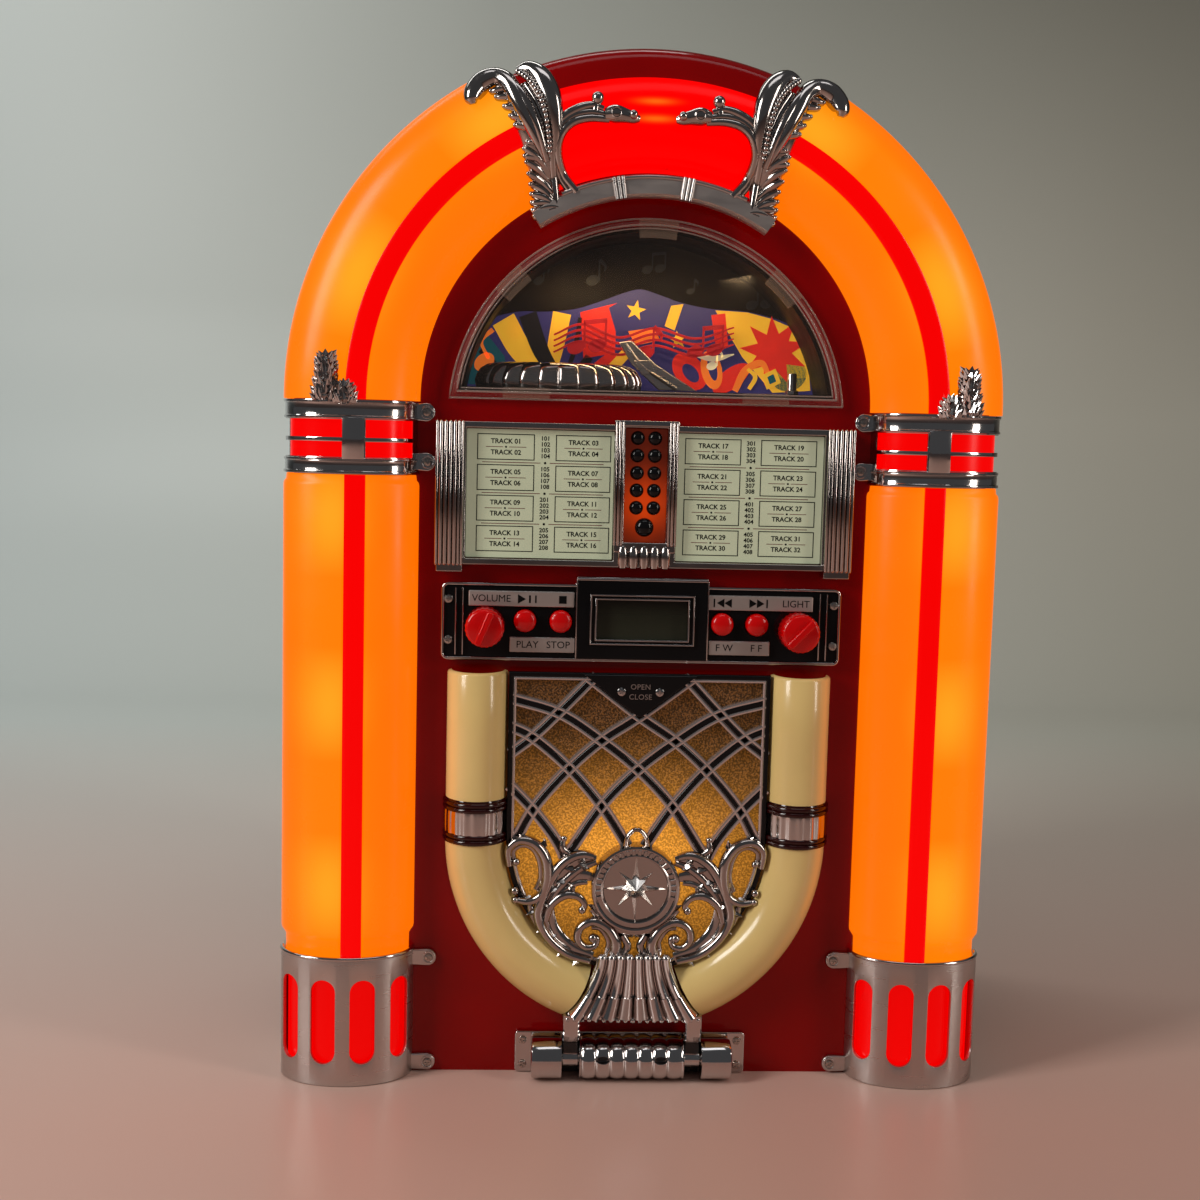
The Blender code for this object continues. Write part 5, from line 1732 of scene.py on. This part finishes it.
def build_labels():
    """Four label plates with plain function words and the usual transport signs."""
    stock = metal("label_plate", "chrome_plating", (0.56, 0.52, 0.49), 0.46, (1, 1, 6), 60.0, 0.02, 0.1)
    ink = Shader("label_ink", "black_plastic", (0.003, 0.003, 0.003), 0.5, Specular_IOR_Level=0.1)
    ink.vary_roughness(300.0, 0.1)
    plates, signs = bmesh.new(), bmesh.new()
    for x0, x1, z0, z1 in (
        (-82.2, -32.4, 229.9, 237.2), (-62.6, -31.8, 208.2, 215.4), (31.4, 81.4, 229.9, 237.0),
        (32.2, 61.2, 208.4, 215.2)
    ):
        stamp(plates, [rounded_box(x0, x1, z0, z1, 0.5)], -7.6, -5.6, 0.4)
    piece("label_plates", plates, stock, angle=30)
    words = [
        ("VOLUME", -71.5, 233.5), ("PLAY", -54.2, 211.8), ("STOP", -39.6, 211.8),
        ("LIGHT", 73.2, 233.4), ("F W", 39.4, 211.8), ("F F", 54.8, 211.8)
    ]
    film = (-7.68, -7.55)
    lettering(words, 4.7, *film, 1.0, signs)
    shapes = [
        triangle(-57.2, 233.5, 3.6), quad(-53.8, -52.9, 231.7, 235.3), quad(-50.9, -50.2, 231.7, 235.3),
        quad(-39.6, -36.0, 231.6, 235.3), triangle(37.2, 233.4, 3.4, -1),
        triangle(40.8, 233.4, 3.4, -1), quad(33.8, 34.5, 231.4, 235.4), triangle(52.6, 233.4, 3.4),
        triangle(56.2, 233.4, 3.4), quad(59.0, 59.7, 231.4, 235.4)
    ]
    for outline in shapes:
        stamp(signs, [outline], *film)
    piece("label_signs", signs, ink.material, angle=20)


def build_knob(name, x, turn):
    """A ribbed red knob with a raised grip across its face."""
    steps = 120
    rows = []
    for radius, depth, ribbed in (
        (8.9, -6.6, 0.2), (9.3, -7.2, 1), (9.3, -17.6, 1), (9.0, -18.8, 0.6), (8.3, -19.7, 0.1),
        (7.4, -20.0, 0), (0.1, -20.0, 0)
    ):
        row = []
        for a in around(steps):
            r = radius * (1 - 0.035 * ribbed * (0.5 + 0.5 * math.cos(24 * a)))
            row.append(at(x + r * math.cos(a), depth, KNOB_Z + r * math.sin(a)))
        rows.append(row)
    bm = skin(rows)
    grip = plate([rounded_box(-1.7, 1.7, -8.4, 8.4, 1.2, 5)], -22.6, -19.0, 0.7, 3)
    place = Matrix.Translation(at(x, 0, KNOB_Z) * MM) @ Matrix.Rotation(math.radians(turn), 4, "Y")
    grip.transform(place @ Matrix.Translation(-at(0, 0, 0) * MM))
    bm.from_mesh(grip)
    turned([(3.0, -7.0), (3.0, 14.0)], x, KNOB_Z, 24, bm)
    piece(f"{name}_cap", bm, RED, name, [name], 40)


def build_controls():
    """The control strip with its knobs, buttons and screws."""
    build_control_face()
    build_labels()
    build_knob("volume_knob", -KNOB_X, 22)
    build_knob("light_knob", KNOB_X, 44)
    for name, x in BUTTON_X.items():
        profile = [(0.1, 4.6), (2.2, 4.6), (2.2, -1.0), (5.2, -1.0), (5.3, -8.8)]
        profile += [
            (5.3 * math.cos(math.radians(a)), -8.8 - 2.4 * math.sin(math.radians(a)))
            for a in (20, 40, 60, 75, 89)
        ]
        piece(f"{name}_cap", turned(profile, x, BUTTON_Z, 32), RED, name, [name], 50)
    build_screws(
        "control_screws", [(s * 91.7, -5.9, z) for s in SIGNS for z in (232.9, 213.4)], radius=2.1
    )


# ---------------------------------------------------------------- door


LATTICE = (
    ((-61.0, 186.2), (-37.7, 179.3), (-17.7, 166.5), (0, 152.7), (16.7, 135.2), (31.7, 112.5)),
    ((-24.5, 197.0), (0, 178.5), (17.7, 166.5), (33, 152.7), (48.8, 134.2), (57.5, 118.5)),
    ((22.8, 196.4), (37.6, 180.8), (50.3, 168.2), (61.3, 159.6)),
    ((-61.4, 172.8), (-50.2, 167.3), (-32.5, 152.4), (-16.7, 134.2), (-4.2, 115.4)),
    ((-61.4, 144.2), (-50, 132.5), (-38.9, 118.3), (-33.2, 107.0)),
)


def door_edge(inset, steps=44):
    """The right edge of the door's frame, from its top down round the bend."""
    half = DOOR_HALF - inset
    drop = DOOR_BEND_Z - 53.0 - inset
    angles = [math.radians(-DOOR_BEND_DEG * i / steps) for i in range(steps + 1)]
    bend = [(half * math.cos(a), DOOR_BEND_Z + drop * math.sin(a)) for a in angles]
    return [(half, DOOR_TOP - inset), *bend]


def door_outline(inset):
    """The whole outline of the door's frame."""
    right = door_edge(inset)
    return right + [(-x, z) for x, z in reversed(right)]


def build_lattice():
    """The door's frame and lattice: black bars, each between two bright rails."""
    rails, black = bmesh.new(), bmesh.new()
    stamp(black, [door_outline(0), door_outline(2.3)], -9.0, -5.5, 0.6, 3)
    stamp(rails, [door_outline(2.2), door_outline(3.7)], -8.9, -5.5, 0.6, 3)
    for side in SIGNS:
        for line in LATTICE:
            strand(rails, [(x, z, 6.1) for x, z in line], -6.0, side, 0.95, RAILS, 8, 0.8)
            strand(black, [(x, z, 2.1) for x, z in line], -6.0, side, 2.55, FLAT, 8, 0.8)
        edge = [(x, z, 2.2) for x, z in door_edge(3.2, 12)[1:]]
        strand(rails, edge, -7.6, side, 1.4)
    scrolls = bmesh.new()
    for side in SIGNS:
        build_scrolls(scrolls, side)
        strand(
            scrolls,
            [
                (side * 5.2, 115.5, 2.4), (side * 4.4, 120.5, 2.4), (side * 1.8, 123.6, 2.4),
                (0, 124.2, 2.4)
            ],
            -11.0, 1, 1.4
        )
    piece("door_lattice", rails, CAST, "door", ["door_grille"], 40)
    piece("door_scrollwork", scrolls, CHROME_DEEP, "door", angle=40)
    plaque = [(-27, DOOR_TOP - 0.6), (27, DOOR_TOP - 0.6), (0.6, 178.2), (-0.6, 178.2)]
    stamp(black, [plaque], -10.4, -5.6, 0.5)
    piece("door_frame", black, BLACK_GLOSS, "door", angle=30)
    build_screws("plaque_screws", [(9.1, -10.3, 190.4), (-9.1, -10.3, 190.4)], "door", 2.1, CHROME)
    words = lettering([("OPEN", 0, 192.8), ("CLOSE", 0, 188.0)], 3.6, -10.6, -10.3, 1.05)
    piece("plaque_words", words, SATIN, "door", angle=20)


def build_scrolls(bm, side):
    """The cast scrollwork between the lattice, the medallion and the foot."""
    low, high = -9.0, -10.4
    curves = [
        (
            high, 2.0,
            [
                (-60.6, 105.5, 2.2), (-61.2, 113.5, 3.0), (-56.3, 118.0, 3.4), (-48.8, 116.4, 3.8),
                (-43.4, 109.4, 4.2), (-42.4, 99.4, 4.2), (-45.2, 91.4, 3.6), (-51, 88.2, 3.0),
                (-57.6, 88.8, 2.0)
            ]
        ),
        (
            low, 1.6,
            [
                (-58.4, 107.5, 2.0), (-58.8, 112.6, 2.0), (-54.6, 115.4, 2.2), (-49.4, 113.8, 2.4),
                (-46.2, 108, 2.4), (-45.4, 99.8, 2.2), (-47.6, 93.6, 2.0)
            ]
        ),
        (
            high, 1.8,
            [
                (-20.5, 110.4, 2.4), (-25.5, 111.4, 3.2), (-31.2, 109.8, 3.6), (-36.8, 105.2, 3.8),
                (-41, 98, 3.6), (-45, 89, 3.8), (-46.4, 80.6, 3.8), (-41.6, 70.6, 3.6),
                (-32.4, 62.6, 3.2), (-21, 59.0, 2.8)
            ]
        ),
        (
            low, 1.6,
            [
                (-19, 107.6, 2.4), (-26, 104.6, 3.0), (-33.4, 98.6, 3.4), (-39.6, 89.6, 3.2),
                (-42.8, 80, 3.0), (-39.2, 70.4, 2.8), (-31, 63.6, 2.4)
            ]
        ),
        (
            high, 1.6,
            [
                (-42.8, 78.6, 2.4), (-40.2, 86.4, 3.0), (-34, 91.2, 3.2), (-27.6, 90.8, 2.8),
                (-24.2, 86.8, 2.4), (-25.6, 83.8, 2.2)
            ]
        ),
        (
            high - 0.6, 2.0,
            [
                (-10.4, 59.4, 4.4), (-8.6, 67.8, 4.2), (-12.6, 75.4, 3.8), (-19.8, 78.8, 3.4),
                (-25.8, 76.0, 3.2), (-27.2, 70.4, 3.0), (-23.8, 66.2, 2.6), (-19.2, 66.6, 2.4),
                (-17.8, 70.2, 2.0), (-20.2, 71.6, 1.8)
            ]
        ),
        (low, 1.6, [(-12.6, 64, 2.0), (-12.2, 69, 2.2), (-16.2, 74.6, 2.2), (-20.4, 75.2, 1.8)]),
        (low, 1.8, [(-20.8, 84.5, 2.6), (-15.6, 79.4, 3.2), (-8, 74.8, 3.6), (0, 73.2, 3.6)]),
        (low, 1.6, [(-31, 110.6, 2.2), (-35.4, 114, 2.6), (-34.8, 119.4, 1.6)]),
        (high, 1.6, [(-5.6, 72.0, 2.4), (-3.0, 66.4, 3.0), (-6.4, 61.2, 2.6)]),
        (low, 1.6, [(-51, 88.4, 2.0), (-49.2, 81.2, 2.6), (-45.6, 74.6, 2.4), (-39.4, 67.4, 2.0)]),
        (low, 1.6, [(-23, 97.5, 1.8), (-28.6, 96.8, 2.4), (-34.8, 92.6, 2.4), (-38.4, 87.8, 2.0)]),
    ]
    masses = [
        [
            (-19, 108.4, 4), (-27, 108.6, 7), (-35, 103.4, 9), (-41, 95, 10), (-43.6, 85, 10),
            (-40.4, 74, 9), (-32, 65, 8), (-20, 60, 6)
        ],
        [(-21, 100, 4), (-28, 100.5, 7), (-35, 97, 8), (-40, 90, 7)],
        [
            (-60.6, 107, 2), (-59.6, 114, 4), (-54.4, 117, 5), (-47.6, 113.6, 6), (-44, 105, 6),
            (-44, 96, 6)
        ],
        [(-20, 84, 4), (-14.4, 78.4, 6), (-7, 74.6, 7), (0, 73.6, 7)],
        [(-11, 60, 6), (-10.4, 68, 6), (-14.4, 74.6, 5), (-20, 77, 4)]
    ]
    for line in masses:
        strand(bm, line, -8.6, side, 0.28, ROUND, 7, 3.0)
    for depth, rise, line in curves:
        strand(bm, stout(line, 1.35), depth, side, rise * 0.6, ROUND, 7, 2.2)
    leaves = [
        (-22, 104, 152), (-24, 107, 138), (-28, 103, 165), (-32, 98, 185), (-36, 95, 200),
        (-39, 84, 150), (-42, 88, 140), (-37, 72, 215), (-32, 66, 222), (-25, 62, 230), (-41, 76, 205),
        (-17, 84, 150), (-12, 80, 160), (-6, 77, 120), (-29, 92, 120), (-45, 103, 60), (-47, 95, 40),
        (-52, 116, 130), (-45, 113, 80), (-33, 106, 110), (-37, 101, 100), (-46, 84, 200),
        (-48, 90, 190)
    ]
    for x, z, degrees in leaves:
        a = math.radians(degrees)
        barb(bm, at(side * x, low - 0.8, z), (side * math.cos(a), -0.25, math.sin(a)), 7.0, 3.6, 3.2)
    for x, z, radius in (
        (-57.4, 107.6, 1.9), (-58.0, 93.4, 2.0), (-57.6, 88.9, 1.7), (-20.0, 70.6, 2.2),
        (-25.4, 84.4, 2.0), (-34.8, 119.2, 1.6)
    ):
        ball(bm, side * x, high - 0.6, z, radius, 1.0, 12)


def build_medallion():
    """A round boss with a toothed ring and an eight-pointed star of facets."""
    x, z = 0.0, MEDALLION_Z
    ring = [
        (21.4, -6.0), (21.4, -13.6), (20.9, -14.8), (20.0, -15.2), (19.2, -14.8), (18.9, -13.9),
        (17.2, -13.9), (16.9, -15.0), (16.4, -15.3), (15.9, -15.0), (15.6, -13.0), (15.2, -12.5),
        (0.1, -12.5)
    ]
    bm = turned(ring, x, z, 72)
    for i in range(40):
        a = math.radians(9 * i + 4.5)
        if math.sin(a) > -0.25:
            centre = Vector((x + 18.1 * math.cos(a), z + 18.1 * math.sin(a)))
            out = Vector((math.cos(a), math.sin(a)))
            across = Vector((-out.y, out.x))
            corners = [
                centre + out * u * 1.3 + across * v * 0.85
                for u, v in ((-1, -1), (1, -1), (1, 1), (-1, 1))
            ]
            stamp(bm, [[(c.x, c.y) for c in corners]], -15.1, -13.4, 0.25)
    piece("door_medallion", bm, CHROME_DEEP, "door", angle=25)

    star = bmesh.new()
    top = star.verts.new(at(x, -17.4, z) * MM)
    tips = []
    for i in range(16):
        a = math.pi * i / 8 + math.pi / 2
        radius = 4.6 if i % 2 else (15.6 if i % 4 == 0 else 11.6)
        tips.append(at(x + radius * math.cos(a), -13.0, z + radius * math.sin(a)))
    front = [star.verts.new(t * MM) for t in tips]
    back = [star.verts.new((t + Vector((0, 1.4, 0))) * MM) for t in tips]
    for i in range(16):
        j = (i + 1) % 16
        star.faces.new((top, front[i], front[j]))
        star.faces.new((front[i], back[i], back[j], front[j]))
    star.faces.new(back)
    piece("medallion_star", star, STAR, "door", angle=10)
    ground = turned([(15.4, -12.4), (15.4, -12.8), (0.1, -12.8)], x, z, 48)
    piece("medallion_ground", ground, CHROME_DEEP, "door", angle=30)


LUG_ARM = ((-6.0, 34.0), (-17.4, 34.0), (-17.0, 26.0), (-14.6, 20.4), (-12.6, 19.0), (-6.0, 19.0))
LUG_SHANK = ((-6.6, 19.2), (-12.0, 19.2), (-12.0, 8.4), (-6.6, 8.4))


def foot_half(z):
    """Half-width of the foot at a height: it flares towards the hinge."""
    t = (62.0 - z) / 31.0
    return 17.8 + 16.2 * max(0.0, t) ** 1.6


def build_foot():
    """The casting's fluted foot, the beads under it and the two lugs that reach the hinge pin."""
    bm = bmesh.new()
    zs = [62 - 31 * i / 10 for i in range(11)]
    back = [(foot_half(z), z) for z in zs] + [(-foot_half(z), z) for z in reversed(zs)]
    stamp(bm, [back], -15.0, -5.5, 0.8)
    for k in range(8):
        u = (k + 0.5) / 4 - 1
        upper = [(u * foot_half(z) * 0.98, z, foot_half(z) * 0.235) for z in (62, 58, 53, 48, 43)]
        strand(bm, upper, -14.6, 1, 1.5, ROUND, 4)
        ball(bm, u * foot_half(62) * 0.98, -14.8, 62.0, 2.15, 1.2, 12)
        lower = [(u * foot_half(z) * 0.98, z, foot_half(z) * 0.25) for z in (43.5, 40, 36, 33.2)]
        strand(bm, lower, -15.4, 1, 1.35, ROUND, 4)
    count = 19
    for k in range(count):
        u = 2 * k / (count - 1) - 1
        ball(bm, u * 31.4, -16.6, 32.2 - 0.6 * (1 - abs(u)), 1.25, 1.0, 10)
    lower = bmesh.new()
    for side in SIGNS:
        for shape, arm in ((bm, LUG_ARM), (lower, LUG_SHANK)):
            xs = ((25.7, 0.6), (26.3, 0.0), (32.7, 0.0), (33.3, 0.6))
            skin(
                [
                    [at(side * x, d + (inset if d < -8 else -inset), z) for d, z in arm]
                    for x, inset in xs
                ],
                bm=shape
            )
        rows = []
        for x, radius in ((25.6, 3.4), (26.0, 3.8), (33.0, 3.8), (33.4, 3.4)):
            circle = [(radius * math.cos(a), radius * math.sin(a)) for a in around(24)]
            rows.append([at(side * x, HINGE_DEPTH + u, HINGE_Z + v) for u, v in circle])
        skin(rows, bm=bm)
    piece("door_shanks", lower, BLACK, "door", angle=40)
    piece("door_foot", bm, CHROME, "door", angle=40)


def build_mesh_cloth():
    """The gold speaker cloth: glittering grains, lit from behind low in the middle."""
    made = Shader("gold_cloth", "gold_mesh", (0.10, 0.045, 0.014), 0.5, 0.35)
    grain = made.spread(made.noise(1100.0, 1.0), 0.42, 0.66, 0.0, 1.0)
    made.link(made.mix(grain, (0.022, 0.008, 0.002), (0.22, 0.085, 0.022)), "Base Color")
    _, (x, _, z) = made.place()
    dx = made.math("DIVIDE", made.math("ADD", x, 0.004), 0.050)
    dz = made.scaled(z, 0.110, 0.029)
    lit = made.bell(made.math("ADD", made.square(dx), made.square(dz)), 0.9)
    speckle = made.spread(grain, 0.0, 1.0, 0.50, 1.0)
    low = made.math("MULTIPLY", made.spread(z, 0.07, 0.175, 0.26, 0.035), speckle)
    factor = made.math("ADD", made.math("MULTIPLY", lit, speckle), low, clamp=True)
    made.link(made.mix(factor, (0.0, 0.0, 0.0), (1.0, 0.39, 0.04)), "Emission Color")
    made.set("Emission Strength", 1.0)
    made.bump(grain, 0.5, 0.0006)
    cloth = plate([door_outline(0.8)], -5.25, -4.4, 0.1)
    piece("speaker_cloth", cloth, made.material, "door", ["door_mesh"], 30)


def build_door_tube(side, word):
    """One side's cream tube, cut to clear the foot, with its dark rings and chrome band."""
    steps = 46
    spine = [
        ((DOOR_TUBE_X, z), (1.0, 0.0), inset)
        for z, inset in (
            (DOOR_TOP, 1.6), (DOOR_TOP - 0.4, 0.6), (DOOR_TOP - 1.4, 0.0), (DOOR_TOP - 30, 0),
            (DOOR_BEND_Z + 20, 0)
        )
    ]
    for i in range(steps + 1):
        a = math.radians(DOOR_BEND_DEG * i / steps)
        normal = Vector((math.cos(a) / DOOR_TUBE_X, -math.sin(a) / DOOR_TUBE_DROP)).normalized()
        centre = (DOOR_TUBE_X * math.cos(a), DOOR_BEND_Z - DOOR_TUBE_DROP * math.sin(a))
        spine.append((centre, (normal.x, normal.y), 0.0))
    rows = []
    for (x, z), (nx, nz), inset in spine:
        row = []
        for radius, proud, sweep in (
            (DOOR_TUBE_R - inset, 16.5 - inset, 1), (DOOR_TUBE_R - 2, 14.3, -1)
        ):
            for i in range(25):
                a = math.pi * i / 24
                offset = sweep * radius * math.cos(a)
                row.append(at(side * (x + nx * offset), -1.6 - proud * math.sin(a), z + nz * offset))
        rows.append(row)
    zs = [64 - 33 * i / 8 for i in range(9)]
    clear = [(foot_half(min(z, 62)) + 0.9, z) for z in zs] + [(40, 27), (40, 10), (-5, 10), (-5, 64)]
    cut = prism(flip(clear, side), -40, 10)
    piece(f"{word}_cream_tube", carved(skin(rows), [cut]), CREAM, "door", [f"{word}_door_tube"], 40)

    def ring(low, high, bulge, base, flutes=0):
        """A half ring round the tube, between two heights."""
        made = []
        for i in range(9):
            t = i / 8 * 2 - 1
            z = (low + high) / 2 + (high - low) / 2 * t
            extra = base + bulge * math.sqrt(max(0.0, 1 - t * t))
            row = []
            count = 72 if flutes else 28
            for k in range(count + 1):
                a = math.pi * k / count
                wave = 0.25 * math.cos(flutes * a) if flutes else 0.0
                reach = DOOR_TUBE_R + extra + wave
                row.append(
                    at(
                        side * (DOOR_TUBE_X + reach * math.cos(a)), -1.6 - (reach + 1.9) * math.sin(a),
                        z
                    )
                )
            made.append(row)
        return skin(made)

    dark = bmesh.new()
    for low, high in ((132.0, 138.0), (116.6, 122.4)):
        dark.from_mesh(to_free(ring(low, high, 0.4, 0.0)))
        for shift in (1.4, 3.9):
            dark.from_mesh(to_free(ring(low + shift - 1.3, low + shift + 1.3, 1.2, 0.2)))
    piece(f"{word}_tube_rings", dark, RING_DARK, "door", angle=60)
    piece(f"{word}_tube_band", ring(121.6, 132.8, 0.2, 0.7, 20), CHROME, "door", angle=60)


def build_hinge():
    """The hinge's back plate and its ribbed barrel, with two slots for the door's lugs; black plates in its
    holes and slots are painted shade.
    """
    bm = bmesh.new()
    stamp(bm, [rounded_box(-56.4, 56.4, 0.4, 20.8, 1.6)], -2.6, -0.35, 0.5, 3)
    rows = []
    places = [(-48.5, 8.6), (-48.1, 9.3), (-47.2, 9.6), (-25.0, 9.6)]
    width = 6.9
    for k in range(7):
        start = -24.15 + width * k
        places += [(start, 8.8), (start + 0.35, 9.15), (start + 1.3, 9.5), (start + width / 2, 9.7)]
        places += [(start + width - 1.3, 9.5), (start + width - 0.35, 9.15)]
    places += [(24.2, 9.1), (25.0, 9.6), (47.2, 9.6), (48.1, 9.3), (48.5, 8.6)]
    for x, radius in places:
        row = []
        for a in around(48):
            row.append(
                at(x, HINGE_DEPTH + radius * math.cos(a), max(HINGE_Z + radius * math.sin(a), 0.7))
            )
        rows.append(row)
    cuts = []
    for side in SIGNS:
        cuts.append(block(pair(side, 25.2, 33.8), (-30, -2.7), (-5, 30)))
        cuts.append(prism(oval(side * 14.0, 12.8, 3.2, 1.7), -30, -16.5))
    bm.from_mesh(rounded(carved(skin(rows), cuts), 0.3, 50))
    piece("hinge_casting", bm, CHROME, replaces=["hinge_bracket"], angle=35)
    # Painted shade: black plates at the bottoms of the barrel's oval pockets and over the plate inside the
    # lug slots stand for the dark inside these holes.
    dark = bmesh.new()
    for side in SIGNS:
        stamp(dark, [oval(side * 14.0, 12.8, 3.0, 1.55)], -16.7, -15.5)
        block(pair(side, 25.3, 33.7), (-3.1, -2.55), (1.0, 20.0), dark)
    piece("hinge_hole_shade", dark, BLACK, angle=30)
    build_screws("hinge_screws", [(s * 52.7, -2.5, z) for s in SIGNS for z in (16.6, 4.4)], radius=2.1)


def build_door():
    """Everything on the door, and the hinge under it."""
    build_lattice()
    build_medallion()
    build_foot()
    build_mesh_cloth()
    for side, word in SIDES:
        build_door_tube(side, word)
    build_hinge()


# ---------------------------------------------------------------- back and inside


def build_back():
    """The rear cover with its sound slots, vents and screws, and the mains inlet."""
    low, high = span("rear_cover")
    front, rear = low.y - PANEL_Y, high.y - PANEL_Y
    outlines = [arch_outline(high.x, 0.0)]
    for side in SIGNS:
        for i in range(7):
            rise = 8.0 * (i - 3)
            x, z = side * SPEAKER_X, SPEAKER_Z + rise
            reach = math.sqrt(SPEAKER_R**2 - rise**2)
            outlines.append(rounded_box(x - reach, x + reach, z - 1.8, z + 1.8, 1.7, 4))
    for i in range(6):
        outlines.append(rounded_box(-60, 60, 298.5 + 10.0 * i, 301.5 + 10.0 * i, 1.4, 4))
    outlines.append(rounded_box(106.6, 133.4, 20.6, 39.4, 2.0))
    piece("back_cover", plate(outlines, front, rear, 0.5), BLACK, replaces=["rear_cover"], angle=30)
    corners = ((158, 10), (158, 160), (158, 300), (112, 436))
    heads = [*((s * x, z) for s in SIGNS for x, z in corners), (0, 484), (0, 10)]
    head = screw_shape(3.2, 1.4)
    bm = bmesh.new()
    for i, (x, z) in enumerate(heads):
        copy = head.copy()
        home = Matrix.Translation(-at(0, 0, 0) * MM)
        turn = Matrix.Rotation(math.pi, 4, "Z") @ Matrix.Rotation(i * 0.7, 4, "Y") @ home
        copy.transform(Matrix.Translation(at(x, rear, z) * MM) @ turn)
        bm.from_mesh(copy)
    piece("back_screws", bm, STEEL, angle=30)
    socket = plate(
        [rounded_box(107.0, 133.0, 21.0, 39.0, 2.0), rounded_box(111.5, 128.5, 25.2, 34.8, 4.6, 8)],
        front - 15, rear, 0.4
    )
    bm = to_bmesh(socket)
    stamp(bm, [rounded_box(108.0, 132.0, 22.0, 38.0, 2.0)], front - 16, front - 14.5, 0.2)
    piece("inlet_socket", bm, BLACK, replaces=["power_inlet"], angle=30)
    pins = bmesh.new()
    for x in (116.0, 124.0):
        turned(
            [(1.2, front - 15), (1.2, rear - 2.4), (0.8, rear - 1.6), (0.1, rear - 1.4)], x, 30, 16,
            pins
        )
    piece("inlet_pins", pins, STEEL, angle=40)


def board_material():
    """A green circuit board: solder mask with faint tracks and small components."""
    made = Shader("green_board", "circuit_board", (0.02, 0.12, 0.04), 0.35)
    coordinates = made.place()[0]
    cells = made.node("TexVoronoi", coordinates, feature="F1", distance="CHEBYCHEV")
    cells.inputs["Scale"].default_value = 260.0
    tracks = made.spread(cells.outputs["Distance"], 0.25, 0.30, 1.0, 0.0)
    made.link(made.mix(tracks, (0.014, 0.085, 0.03), (0.05, 0.20, 0.07)), "Base Color")
    made.vary_roughness(200.0, 0.1)
    made.bump(tracks, 0.2, 0.0003)
    return made.material


def dress_inside():
    """Materials for the pieces of the frame that show as they are."""
    board = board_material()
    cone = plastic("speaker_paper", "black_plastic", (0.018, 0.017, 0.016), 0.75, 0.2, 0.4, 500.0)
    materials = {
        "cd_chassis": BLACK, "spindle_motor": STEEL, "pickup_sled": BLACK, "guide_rod": STEEL,
        "hinge_pin": STEEL, "latch_plunger": STEEL, "power_transformer": STEEL, "left_speaker": cone,
        "right_speaker": cone
    }
    materials |= {
        name: board
        for name in ("main_board", "control_board", "left_lamp_board", "right_lamp_board", "door_lamp")
    }
    for name, material in materials.items():
        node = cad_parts[name]
        for node_slot in node.material_slots:
            node_slot.material = material
    hub = turned(
        [
            (1.2, 17.9), (1.2, 14.0), (14.0, 14.0), (14.0, 12.0), (13.4, 11.5), (7.3, 11.0), (7.3, 9.2),
            (6.8, 8.6), (4.5, 5.6), (4.0, 5.2), (0.1, 5.2)
        ],
        0, DISC_Z, 48
    )
    for k in range(3):
        a = 2 * math.pi * k / 3 + 0.5
        ball(hub, 6.9 * math.cos(a), 9.8, DISC_Z + 6.9 * math.sin(a), 1.1, 1.0, 12)
    piece("spindle_hub", hub, BLACK, "disc_hub", ["disc_hub"], 30)
    eye = turned([(0.1, 14.0), (3.4, 14.0), (3.4, 13.4), (2.4, 12.9), (0.1, 12.7)], 27, DISC_Z, 24)
    piece("pickup_lens", eye, BLACK_GLOSS, "pickup_sled", angle=40)


# ---------------------------------------------------------------- assembly


def main():
    build_camera()
    build_stage()
    build_light()
    build_front_panel()
    build_shell()
    for side, word in SIDES:
        build_tubes(side, word)
        build_band(side, word)
        build_sleeve(side, word)
    build_top_lens()
    build_crest()
    build_screws(
        "ear_screws", [(side * x, -2.2, z) for side in SIGNS for x, z in (*BAND_EARS, *SLEEVE_EARS)]
    )
    build_dome()
    build_title_frame()
    build_cards()
    build_selector()
    build_controls()
    build_door()
    build_back()
    dress_inside()


main()
